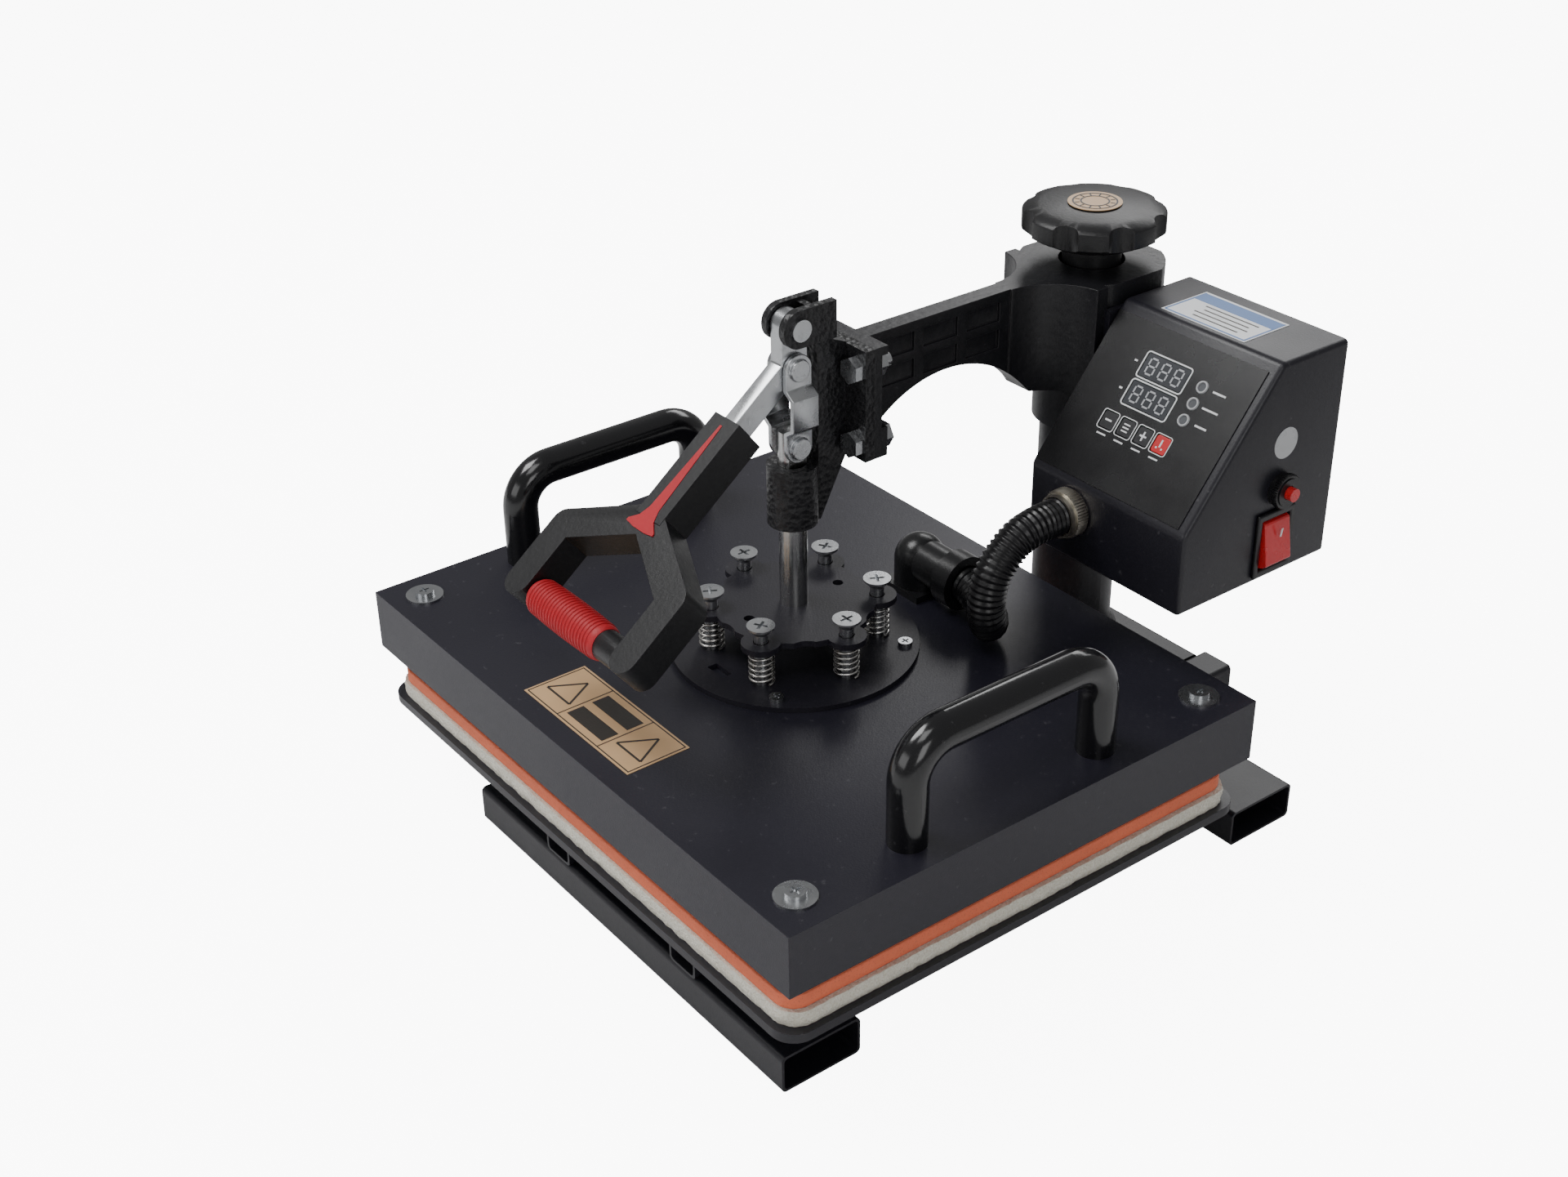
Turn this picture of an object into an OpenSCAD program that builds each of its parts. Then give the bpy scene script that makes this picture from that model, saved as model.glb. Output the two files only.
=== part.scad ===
// Swing-away flat heat press.
// A steel tube base carries a padded tray and a round post. An arm swings on the post and holds a
// toggle clamp. The clamp's lever drives a plunger down, and the plunger presses a spring-mounted
// heating platen onto the tray. A knob on the post sets the arm's height, and so the pressure.
// Millimetres, +Z up, operator at -Y. The table is z = 0 and the origin is under the middle of the
// whole press. Modules place their pieces from the press axis, which at_press() moves into place.

/* [Base frame] */
// Length of each foot tube
foot_len = 292; // [240:1:340]
// Width of a foot tube
foot_w = 50; // [40:1:60]
// Height of a foot tube
foot_h = 23; // [18:1:30]
// Height of a rail tube
rail_h = 34; // [28:1:42]
// Width of a rail tube
rail_w = 23; // [18:1:30]
// Length of the two rails
rail_len = 400; // [370:1:440]
// Centre distance of the two rails
rail_gap = 121; // [110:1:150]
// How far the base frame stands to the right of the press axis
base_offset = 28; // [0:1:35]
// Wall of all the square tubes
tube_wall = 1.6; // [1.2:0.1:3]
// Outer corner radius of the square tubes
tube_corner = 3; // [2:0.5:5]
// Outer radius of the post
post_r = 25; // [22:0.5:28]
// Wall of the post
post_wall = 3; // [2:0.5:5]
// Distance from the press axis back to the post
post_y = 217; // [210:1:240]

/* [Tray and pads] */
// Width of the tray
tray_w = 396; // [392:1:430]
// Depth of the tray
tray_d = 314; // [312:1:340]
// How far the tray's edge is folded down
tray_fold = 4; // [3:0.5:6]
// Sheet thickness of the tray
tray_t = 1.5; // [1:0.1:2]
// Thickness of the felt pad
felt_t = 9; // [5:0.5:12]
// Thickness of the silicone pad
silicone_t = 9; // [6:0.1:12]
// Air gap that the platen stands over the silicone pad at rest
pad_gap = 0.3; // [0.3:0.1:2]

/* [Platen] */
// Width of the heating plate
plate_w = 380; // [340:1:400]
// Depth of the heating plate
plate_d = 300; // [280:1:320]
// Thickness of the heating plate
plate_t = 14; // [10:1:18]
// Width of the sheet cover
cover_w = 400; // [390:1:430]
// Depth of the sheet cover
cover_d = 315; // [305:1:340]
// Height of the cover's skirt
cover_h = 37; // [34:1:50]
// Sheet thickness of the cover
cover_t = 1.5; // [1:0.1:2]
// How far the plate shows below the skirt
plate_show = 10.2; // [6:0.2:12]
// Radius of the round hub plate
hub_r = 70; // [64:1:80]
// Thickness of the hub plate
hub_t = 3; // [2:0.5:5]
// Radius of the circle of spring screws
spring_circle = 46.5; // [42:0.5:50]
// Free height between the hub plate and the spider plate
spring_h = 22; // [18:1:28]
// Outer radius of a coil spring
spring_r = 7.4; // [6.5:0.1:9]
// Thickness of the spider plate
spider_t = 3.5; // [3:0.5:5]
// Radius of a U handle's tube
grip_tube_r = 10.5; // [8:0.5:12]
// Centre distance of a U handle's legs
grip_span = 127; // [110:1:150]
// Height of a U handle over the cover
grip_rise = 67; // [55:1:80]

/* [Clamp and lever] */
// Radius of the plunger shaft
shaft_r = 7.85; // [6:0.05:9]
// Height of the lever's pivot pin
top_pin_z = 318; // [312:1:326]
// Pivot pin to middle pin
crank_len = 23; // [20:0.5:26]
// Middle pin to plunger pin
link_len = 45; // [42:0.5:50]
// Radius of the toggle's pins
pin_r = 4; // [3:0.5:5]
// Slope of the lever below level when the clamp is shut
lever_slope = 38; // [30:1:45]
// Middle pin to the fork of the yoke handle
fork_at = 109; // [95:1:125]
// Middle pin to the axis of the red grip
grip_at = 173; // [160:1:190]
// Half the width of the yoke handle, to the axis of each tine
yoke_half = 50; // [42:1:58]

/* [Arm and knob] */
// Height of the arm's flat top
arm_top = 300; // [294:1:306]
// Thickness of the arm's web over its ribs
web_t = 12; // [9:1:16]
// Radius of the arch under the arm
arch_r = 75; // [68:1:80]
// Outer radius of the lift collar under the arm
collar_r = 30; // [29:0.5:34]
// Overall radius of the pressure knob
knob_r = 41; // [34:1:48]
// Thickness of the pressure knob
knob_t = 19; // [15:1:24]
// Lobes round the pressure knob
knob_lobes = 8; // [6:1:12]

/* [Control box] */
// Width of the control box
box_w = 116; // [110:1:140]
// Depth of the control box
box_d = 116; // [110:1:140]
// Height of the control box
box_h = 129; // [124:1:150]
// Height of the upright part of the box's front
box_front_h = 48; // [44:1:56]
// Depth of the box's flat top
box_top_d = 50; // [46:1:60]
// Sheet thickness of the box
box_t = 1.5; // [1:0.1:2]

/* [Hidden] */
$fn = 48;

slip = 0.05;
clear = 0.3;
cut = 1;

rail_front = -tray_d / 2 + 13.5;
rail_z = foot_h;
tray_z = foot_h + rail_h;
felt_z = tray_z + tray_t;
silicone_z = felt_z + felt_t;
plate_z = silicone_z + silicone_t + pad_gap;
skirt_z = plate_z + plate_show;
cover_z = skirt_z + cover_h;
plate_top = plate_z + plate_t;
hub_z = cover_z + hub_t;
spider_z = hub_z + spring_h;
spider_top = spider_z + spider_t;
rear_foot_y = post_y - 11;
beam_y = post_y + 9;
beam_d = 50;
right_rail_x = base_offset + rail_gap / 2;
left_rail_x = base_offset - rail_gap / 2;

mid_pin_z = top_pin_z - crank_len;
low_pin_z = mid_pin_z - link_len;
pin_y = -1;
bearing_z = low_pin_z - 47;
bearing_top = low_pin_z - 12;
bearing_r = 14;
tongue_half = 5;
flange_y = 30;
flange_t = 6.3;
flange_half = 25;
flange_low = low_pin_z - 12;
flange_high = arm_top + 2;
arm_plate_y = flange_y + flange_t;
arm_plate_t = 5;
arm_lip = 9;
bolt_x = 17;
bolt_zs = [low_pin_z - 3, low_pin_z + 40];
bolt_r = 4;

head_low = arm_top - 65;
collar_low = head_low - 32;
journal_r = 28;
post_top = arm_top - 20;
collar_cap = arm_top - 10;
knob_low = arm_top - 7.7;
neck_r = 17;
neck_h = 20;
screw_r = 7;
pitch = 2;

box_x = 42;
box_front = 136;
box_low = arm_top - 136;
slope_z = box_low + box_front_h;
box_top = box_low + box_h;
slope_back = box_front + box_d - box_top_d;
slope_len = norm([slope_back - box_front, box_top - slope_z]);
slope_angle = atan2(box_top - slope_z, slope_back - box_front);
overlay_t = 0.8;
key_pitch = 13;
key_size = 10.5;

gland_len = 9;
front_extent = max(tray_d, cover_d) / 2;
rear_extent = max(post_y + knob_r, box_front + box_d + gland_len);
press_y = (front_extent - rear_extent) / 2;

hose_r = 11;
elbow_axis = [34, 97, cover_z + 19];
fitting_at = [box_x + 34, box_front, slope_z - 17];
// Route of the hose, from the elbow to the control box, chosen by hand.
hose_path = [
    [31, 97, 143], [35, 97, 143], [40, 96.8, 142.4], [46, 95.5, 140.5], [55, 93, 138.5], [64, 88, 137.5],
    [70, 82, 140], [74, 77, 147], [75, 75, 156], [75, 76, 166], [75, 80, 176], [75, 87, 184],
    [75.4, 96, 191], [76, 107, 194.4], [76, 118, 195], [76, 129, 195]
];

module at_press() {
    translate([0, press_y, 0]) children();
}

// Outline of a rectangle with round corners, centred.
module round_rect(w, d, r) {
    square([w - 2 * r, d], center = true);
    square([w, d - 2 * r], center = true);
    for (x = [-1, 1], y = [-1, 1])
        translate([x * (w / 2 - r), y * (d / 2 - r)]) circle(r);
}

// Open square tube along +X, from x = 0, its section centred on the axis.
module tube_x(len, d, h) {
    rotate([90, 0, 90]) linear_extrude(len) difference() {
        round_rect(d, h, tube_corner);
        round_rect(d - 2 * tube_wall, h - 2 * tube_wall, tube_corner - tube_wall / 2);
    }
}

module tube_y(len, w, h) {
    rotate([0, 0, 90]) tube_x(len, w, h);
}

module ring(r_out, r_in, h) {
    difference() {
        cylinder(h = h, r = r_out);
        translate([0, 0, -cut]) cylinder(h = h + 2 * cut, r = r_in);
    }
}

// Cylinder along +X, from x = 0.
module rod_x(h, r) {
    rotate([0, 90, 0]) cylinder(h = h, r = r);
}

// Cylinder along +Y, from y = 0.
module rod_y(h, r) {
    rotate([-90, 0, 0]) cylinder(h = h, r = r);
}

module hexagon(across, h) {
    cylinder(h = h, r = across / sqrt(3), $fn = 6);
}

// Swept round tube through a list of points, as rings joined side to side.
function unit(v) = v / norm(v);
function way(p, i) = unit(p[min(i + 1, len(p) - 1)] - p[max(i - 1, 0)]);
function side_of(t) = unit(cross(t, abs(t[0]) > 0.9 ? [0, 1, 0] : [1, 0, 0]));
function ring_at(p, i, r, n) =
    let (t = way(p, i), a = side_of(t), b = cross(t, a))
    [for (k = [0 : n - 1]) p[i] + r * (cos(360 * k / n) * a + sin(360 * k / n) * b)];

module swept_tube(p, r, n) {
    rings = [for (i = [0 : len(p) - 1]) each ring_at(p, i, r, n)];
    walls = [for (i = [0 : len(p) - 2], k = [0 : n - 1])
        [i * n + k, (i + 1) * n + k, (i + 1) * n + (k + 1) % n, i * n + (k + 1) % n]];
    first = [for (k = [0 : n - 1]) k];
    last = [for (k = [n - 1 : -1 : 0]) (len(p) - 1) * n + k];
    polyhedron(rings, concat([first], walls, [last]));
}

// ---- Base frame ----

module foot(y) {
    at_press() translate([base_offset - foot_len / 2, y, foot_h / 2]) tube_x(foot_len, foot_w, foot_h);
}

module front_foot() {
    color("#1b1b1f") foot(rail_front + foot_w / 2);
}

module rear_foot() {
    color("#1b1b1f") foot(rear_foot_y);
}

tray_screw_ys = [-90, 90];

module rail(x) {
    at_press() difference() {
        translate([x, rail_front, rail_z + rail_h / 2]) tube_y(rail_len, rail_w, rail_h);
        for (y = tray_screw_ys)
            translate([x, y, tray_z - 5]) cylinder(h = 10, r = 3.2);
    }
}

module left_rail() {
    color("#1b1b1f") rail(left_rail_x);
}

module right_rail() {
    color("#1b1b1f") rail(right_rail_x);
}

module rear_beam() {
    color("#1b1b1f") at_press()
        translate([left_rail_x + rail_w / 2, beam_y, rail_z + rail_h / 2])
            tube_x(rail_gap - rail_w, beam_d, rail_h);
}

module post() {
    color("#18181b") at_press() translate([0, post_y, tray_z])
        ring(post_r, post_r - post_wall, post_top - tray_z);
}

// Threaded plug welded into the top of the post.
module pressure_nut() {
    color("#8a8c90") at_press() translate([0, post_y, post_top - 24])
        ring(post_r - post_wall, screw_r + slip, 20);
}

// Flat sheet with its edge folded down, notched behind where the rails run out.
module lower_tray() {
    inset = 2 * tray_t;
    color("#1d1d20") at_press() difference() {
        translate([0, 0, tray_z - tray_fold]) linear_extrude(tray_fold + tray_t) round_rect(tray_w, tray_d, 14);
        translate([0, 0, tray_z - tray_fold - cut]) linear_extrude(tray_fold + cut)
            round_rect(tray_w - inset, tray_d - inset, 14 - tray_t);
        for (x = [left_rail_x, right_rail_x])
            translate([x - rail_w / 2, tray_d / 2 - 20, tray_z - 20]) cube([rail_w, 40, 20]);
        for (x = [left_rail_x, right_rail_x], y = tray_screw_ys)
            translate([x, y, tray_z - cut]) cylinder(h = tray_t + 2 * cut, r = 3.2);
    }
}

// Screws from inside the rails, up through the tray, ending flush under the felt.
module tray_screws() {
    color("#b9bbbf") at_press()
        for (x = [left_rail_x, right_rail_x], y = tray_screw_ys)
            translate([x, y, tray_z - tube_wall - 4]) {
                cylinder(h = 4, r = 5.5);
                cylinder(h = 4 + tube_wall + tray_t, r = 3);
            }
}

module felt_pad() {
    color("#efe9d6") at_press() translate([0, 0, felt_z])
        linear_extrude(felt_t) round_rect(plate_w + 8, plate_d + 6, 14);
}

module silicone_pad() {
    color("#e8795a") at_press() translate([0, 0, silicone_z])
        linear_extrude(silicone_t) round_rect(plate_w + 3, plate_d + 3, 12);
}

// ---- Lift collar and pressure knob ----

// Sleeve that slides on the post. Its upper journal is the bearing that the arm swings on.
module lift_collar() {
    color("#202024") at_press() translate([0, post_y, 0]) difference() {
        union() {
            translate([0, 0, collar_low]) cylinder(h = head_low - collar_low - clear, r = collar_r);
            translate([0, 0, collar_low]) cylinder(h = collar_cap - collar_low, r = journal_r);
        }
        translate([0, 0, collar_low - cut])
            cylinder(h = collar_cap - 6 - collar_low + cut, r = post_r + slip);
        translate([0, 0, collar_cap - 10]) cylinder(h = 20, r = screw_r + clear);
    }
}

module knob_outline(r) {
    lobe_r = r * sin(180 / knob_lobes) * 0.62;
    difference() {
        circle(r, $fn = 96);
        for (k = [0 : knob_lobes - 1])
            rotate(360 * (k + 0.5) / knob_lobes) translate([r + lobe_r * 0.55, 0]) circle(lobe_r);
    }
}

module pressure_knob() {
    color("#151517") at_press() translate([0, post_y, knob_low]) difference() {
        union() {
            cylinder(h = neck_h + cut, r = neck_r);
            translate([0, 0, neck_h]) intersection() {
                linear_extrude(knob_t + 3) knob_outline(knob_r);
                rotate_extrude($fn = 96) polygon([
                    [0, 0], [knob_r - 12, 0], [knob_r - 2, 5], [knob_r + 1, 7],
                    [knob_r + 1, knob_t - 4], [knob_r - 2, knob_t - 1], [knob_r - 10, knob_t + 1], [0, knob_t + 2]
                ]);
            }
        }
        translate([0, 0, -cut]) cylinder(h = neck_h + 8 + cut, r = screw_r);
    }
}

module pressure_screw() {
    color("#9a9ca0") at_press() translate([0, post_y, 0]) {
        translate([0, 0, post_top - 40]) cylinder(h = knob_low + neck_h + 8 - post_top + 40, r = screw_r);
        translate([0, 0, collar_cap + clear])
            ring(neck_r - 2, screw_r, knob_low - collar_cap - clear);
    }
}

module knob_badge() {
    color("#c9a26a") at_press() translate([0, post_y, knob_low + neck_h + knob_t + 2])
        cylinder(h = 0.4, r = 15.5);
}

// ---- Arm ----

arch_y = 103;
arch_z = low_pin_z - 60;
web_front = arm_plate_y + arm_plate_t;
head_half = 38;

// Side of the web before the arch is cut, as a plain rectangle from the plate to the head.
module web_side() {
    translate([web_front - 1, head_low]) square([post_y - web_front - 35, arm_top - head_low]);
}

// Recessed panels that leave raised ribs along the web's edges.
module web_pockets(side) {
    depth = 2;
    x = side > 0 ? web_t / 2 - depth : -web_t / 2 - cut;
    for (row = [0, 1], col = [0 : 2]) {
        y0 = web_front + 14 + col * 31;
        z0 = arm_top - 17 - row * 16;
        translate([x, y0, z0]) cube([depth + cut, 24, 11]);
    }
}

module head_outline() {
    intersection() {
        translate([0, post_y]) circle(head_half + 4, $fn = 96);
        translate([0, post_y]) square([2 * head_half, 2 * head_half], center = true);
    }
    // Fillets that spread the web into the head.
    difference() {
        translate([0, post_y - head_half - 8]) square([2 * head_half, 44], center = true);
        for (s = [-1, 1])
            translate([s * (web_t / 2 + 37), post_y - head_half - 30]) circle(36, $fn = 96);
        translate([-head_half, post_y - head_half - 60]) square([2 * head_half, 30]);
    }
}

module arm_casting() {
    color("#1a1a1d") at_press() difference() {
        union() {
            rotate([90, 0, 90]) translate([0, 0, -web_t / 2]) linear_extrude(web_t) web_side();
            translate([0, 0, head_low]) linear_extrude(arm_top - head_low) head_outline();
            translate([-flange_half, arm_plate_y, flange_low])
                cube([2 * flange_half, arm_plate_t, flange_high - flange_low]);
            translate([-flange_half, arm_plate_y, flange_low]) cube([2 * flange_half, arm_lip, 17]);
            translate([-flange_half, arm_plate_y, arm_top - 3])
                cube([2 * flange_half, arm_lip, flange_high - arm_top + 3]);
        }
        for (side = [-1, 1]) web_pockets(side);
        translate([0, arch_y, arch_z]) rotate([0, 90, 0])
            cylinder(h = 200, r = arch_r, center = true, $fn = 96);
        translate([0, post_y, head_low - cut])
            cylinder(h = collar_cap - head_low + clear + cut, r = journal_r + slip);
        translate([0, post_y, knob_low - clear]) cylinder(h = 20, r = neck_r + 2);
        translate([0, post_y, head_low]) cylinder(h = 80, r = neck_r - 2 + clear);
        for (x = [-1, 1], z = bolt_zs)
            translate([x * bolt_x, arm_plate_y - cut, z]) rod_y(20, bolt_r + 0.2);
    }
}

module clamp_body() {
    spine_half = 8;
    ear_r = 10.5;
    color("#17171a") at_press() difference() {
        union() {
            translate([0, 0, bearing_z]) cylinder(h = bearing_top - bearing_z, r = bearing_r);
            rotate([90, 0, 90]) translate([0, 0, -spine_half]) linear_extrude(2 * spine_half) polygon([
                [0, bearing_z], [13, bearing_z], [flange_y + 1, flange_low], [flange_y + 1, flange_high],
                [22, top_pin_z - 12], [12, top_pin_z + 9], [8, top_pin_z + 9], [11.5, mid_pin_z],
                [11.5, bearing_top + 4], [11.5, bearing_top], [0, bearing_top]
            ]);
            translate([-flange_half, flange_y, flange_low])
                cube([2 * flange_half, flange_t, flange_high - flange_low]);
            for (s = [0, 1]) mirror([s, 0, 0]) translate([tongue_half + clear, 0, 0]) {
                translate([0, pin_y, top_pin_z]) rod_x(4.5, ear_r);
                translate([0, pin_y, top_pin_z - ear_r]) cube([4.5, 24, 2 * ear_r]);
            }
        }
        translate([0, 0, bearing_z - cut]) cylinder(h = 60, r = shaft_r + slip);
        translate([-20, pin_y, top_pin_z]) rod_x(40, pin_r);
        translate([0, pin_y, top_pin_z]) rotate([0, 90, 0])
            cylinder(h = 2 * (tongue_half + clear), r = 12.5, center = true);
        for (x = [-1, 1], z = bolt_zs)
            translate([x * bolt_x, flange_y - cut, z]) rod_y(20, bolt_r + 0.2);
    }
}

// Hex bolts with their nuts. The lower nuts sit on the plate's thick lip and the upper ones on its
// thin middle.
module clamp_bolts() {
    color("#b9c0c6") at_press()
        for (x = [-1, 1], k = [0, 1])
            translate([x * bolt_x, flange_y, bolt_zs[k]]) {
                translate([0, -5.3, 0]) rotate([-90, 30, 0]) hexagon(13, 5.3);
                rod_y(flange_t + arm_plate_t + 10, bolt_r);
                translate([0, flange_t + (k == 0 ? arm_lip : arm_plate_t), 0])
                    rotate([-90, 0, 0]) hexagon(13, 5);
            }
}

module rivet_x(half, head_r) {
    translate([-half, 0, 0]) rod_x(2 * half, pin_r);
    for (s = [0, 1]) mirror([s, 0, 0]) translate([half, 0, 0]) rod_x(2, head_r);
}

module lever_pin() {
    color("#c4c9ce") at_press() translate([0, pin_y, top_pin_z]) rivet_x(tongue_half + clear + 4.5, 6);
}

// ---- Control box ----

module box_side() {
    polygon([
        [box_front, box_low], [box_front + box_d, box_low], [box_front + box_d, box_top],
        [slope_back, box_top], [box_front, slope_z]
    ]);
}

// Puts children on the sloping face: x across, y up the slope, z out of it.
module on_slope() {
    translate([box_x, box_front, slope_z]) rotate([slope_angle, 0, 0]) children();
}

// Puts children on the right side: x back, y up, z out of it.
module on_side() {
    translate([box_x + box_w, box_front, box_low]) rotate([90, 0, 90]) children();
}

switch_at = [71, 23];
breaker_at = [73, 54];
display_w = 31;
display_h = 14;
display_x = 51;
temp_y = 75;
time_y = 58;
key_x = 34;
key_y = 39;
lamp_x = 78;
lamp_ys = [56, 66, 76];
board_drop = 6.4;

module control_box() {
    color("#1c1c1f") at_press() difference() {
        translate([box_x, 0, 0]) rotate([90, 0, 90]) linear_extrude(box_w) box_side();
        translate([box_x + box_t, 0, 0]) rotate([90, 0, 90]) linear_extrude(box_w - 2 * box_t)
            offset_side(box_t);
        on_side() translate([switch_at[0] - 13, switch_at[1] - 18, -5]) cube([26, 36, 10]);
        on_side() translate([breaker_at[0], breaker_at[1], -5]) cylinder(h = 10, r = 6.2);
        translate(fitting_at - [0, 5, 0]) rod_y(10, 8.2);
        on_slope() translate([8, 30, -5]) cube([84, 58, 10]);
    }
}

// Inside of the box's side outline: a wall in, and open at the back.
module offset_side(t) {
    s = t / sin(slope_angle);
    polygon([
        [box_front + t, box_low + t], [box_front + box_d + 1, box_low + t],
        [box_front + box_d + 1, box_top - t], [slope_back + t * 0.7, box_top - t],
        [box_front + t, slope_z + t * tan(slope_angle) - s * tan(slope_angle) * 0.9]
    ]);
}

module box_back() {
    color("#1c1c1f") at_press() difference() {
        translate([box_x + box_t, box_front + box_d - box_t, box_low + box_t])
            cube([box_w - 2 * box_t, box_t, box_h - 2 * box_t]);
        translate([box_x + 80, box_front + box_d - 5, box_low + 30]) rod_y(10, 8.2);
    }
}

module box_bracket() {
    color("#1c1c1f") at_press() difference() {
        translate([head_half, post_y - 26, head_low + 12]) cube([box_x - head_half, 52, 40]);
        for (y = [-16, 16], z = [22, 42])
            translate([head_half - cut, post_y + y, head_low + z]) rod_x(8, 2.5);
    }
}

// Short screws that hold the bracket to the box wall.
module bracket_screws() {
    color("#b9bbbf") at_press()
        for (y = [-16, 16], z = [22, 42])
            translate([head_half, post_y + y, head_low + z]) rod_x(box_x - head_half, 2.5);
}

module panel_overlay() {
    color("#101013") at_press() on_slope() difference() {
        translate([2, 3, 0]) cube([box_w - 8, slope_len - 10, overlay_t]);
        for (y = [temp_y, time_y])
            translate([display_x - display_w / 2, y - display_h / 2, -cut]) cube([display_w, display_h, 4]);
        for (k = [0 : 3])
            translate([key_x + k * key_pitch - key_size / 2, key_y - key_size / 2, -cut])
                cube([key_size, key_size, 4]);
        for (y = lamp_ys) translate([lamp_x, y, -cut]) cylinder(h = 4, r = 3.4);
    }
}

module displays() {
    color("#8e9298") at_press() on_slope()
        for (y = [temp_y, time_y])
            translate([display_x - display_w / 2 + 0.2, y - display_h / 2 + 0.2, -board_drop])
                cube([display_w - 0.4, display_h - 0.4, board_drop + overlay_t]);
}

module indicator_lamps() {
    color("#9fa3a8") at_press() on_slope()
        for (y = lamp_ys) translate([lamp_x, y, -board_drop]) cylinder(h = board_drop + overlay_t, r = 3.2);
}

module key(k) {
    at_press() on_slope() translate([key_x + k * key_pitch, key_y, -1.6]) linear_extrude(1.6 + overlay_t)
        round_rect(key_size - 0.6, key_size - 0.6, 1.5);
}

module key_minus() {
    color("#18181b") key(0);
}

module key_mode() {
    color("#18181b") key(1);
}

module key_plus() {
    color("#18181b") key(2);
}

module key_start() {
    color("#c4232c") key(3);
}

module circuit_board() {
    color("#1f5a34") at_press() on_slope() translate([10, 24, -board_drop - 1.6]) cube([88, 62, 1.6]);
}

module transformer() {
    color("#5c5f63") at_press() translate([box_x + 30, box_front + 60, box_low + box_t]) cube([42, 36, 34]);
}

module switch_bezel() {
    color("#131315") at_press() on_side() translate([switch_at[0], switch_at[1], 0]) difference() {
        union() {
            translate([-14.5, -19.5, 0]) cube([29, 39, 2.5]);
            translate([-12.8, -17.8, -20]) cube([25.6, 35.6, 21]);
        }
        translate([-11, -15, -16]) cube([22, 30, 30]);
    }
}

module power_rocker() {
    color("#d8212b") at_press() on_side() translate([switch_at[0], switch_at[1], -3])
        rotate([0, 90, 0]) intersection() {
            cylinder(h = 20, r = 14.6, center = true);
            translate([-12, -14.2, -10]) cube([18, 28.4, 20]);
            rotate(-9) translate([-8, -20, -10]) cube([20, 40, 20]);
        }
}

module breaker_body() {
    color("#151517") at_press() on_side() translate([breaker_at[0], breaker_at[1], 0]) difference() {
        union() {
            cylinder(h = 2.5, r = 9.5);
            cylinder(h = 7, r = 8);
            translate([0, 0, -22]) cylinder(h = 23, r = 6);
        }
        translate([0, 0, -6]) cylinder(h = 20, r = 4.1);
    }
}

module breaker_button() {
    color("#e23a2e") at_press() on_side() translate([breaker_at[0], breaker_at[1], -2])
        cylinder(h = 13, r = 3.8);
}

module hose_fitting() {
    color("#b7b2a6") at_press() translate(fitting_at) difference() {
        union() {
            translate([0, -12, 0]) rod_y(12, hose_r + 1.5);
            translate([0, -1, 0]) rod_y(10, 8);
        }
        translate([0, -20, 0]) rod_y(40, 6);
        translate([0, -13, 0]) rod_y(6, hose_r + clear);
    }
}

module cord_gland() {
    color("#131315") at_press() translate([box_x + 80, box_front + box_d, box_low + 30]) difference() {
        union() {
            rod_y(gland_len, 10);
            translate([0, -8, 0]) rod_y(9, 8);
        }
        translate([0, -20, 0]) rod_y(40, 4);
    }
}

module top_label() {
    color("#e9edf2") at_press() translate([box_x + 24, slope_back + 4, box_top]) cube([60, 36, 0.3]);
}

// ---- Plunger and spider plate ----

// Round shaft, with a threaded foot below the spider plate and a flat tongue between the links.
module plunger_shaft() {
    shoulder_z = low_pin_z - 16;
    color("#c9ccd0") at_press() {
        translate([0, 0, spider_top]) cylinder(h = shoulder_z - spider_top, r = shaft_r);
        translate([0, 0, spider_z - 10]) cylinder(h = 12 + spider_t, r = 5.5);
        intersection() {
            translate([0, 0, shoulder_z - 1]) cylinder(h = 25, r = shaft_r - 0.1);
            translate([-tongue_half, -8, shoulder_z - 1]) cube([2 * tongue_half, 16, 25]);
        }
    }
}

module spider_plate() {
    color("#1c1c1f") at_press() translate([0, 0, spider_z]) difference() {
        linear_extrude(spider_t) difference() {
            union() {
                circle(spring_circle - 1, $fn = 96);
                for (k = [0 : 5]) rotate(60 * k) translate([spring_circle, 0]) circle(11);
            }
            for (k = [0 : 5]) rotate(60 * k + 30) translate([spring_circle + 8, 0]) circle(11);
        }
        translate([0, 0, -cut]) cylinder(h = 10, r = 5.6);
        for (k = [0 : 5]) rotate(60 * k) translate([spring_circle, 0, -cut]) cylinder(h = 10, r = 4.4);
        for (s = [-1, 1]) translate([0, s * 31, -cut]) cylinder(h = 10, r = 3);
    }
}

module shaft_nut() {
    color("#b9bbbf") at_press() translate([0, 0, spider_z - 8]) difference() {
        hexagon(18, 8);
        translate([0, 0, -cut]) cylinder(h = 10, r = 5.5);
    }
}

// ---- Platen ----

screw_spots = [for (x = [-1, 1], y = [-1, 1]) [x * (cover_w / 2 - 22), y * (cover_d / 2 - 21)]];
handle_x = cover_w / 2 - 22;
handle_spots = [for (x = [-1, 1], y = [-1, 1]) [x * handle_x, y * grip_span / 2 - 4.5]];

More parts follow.
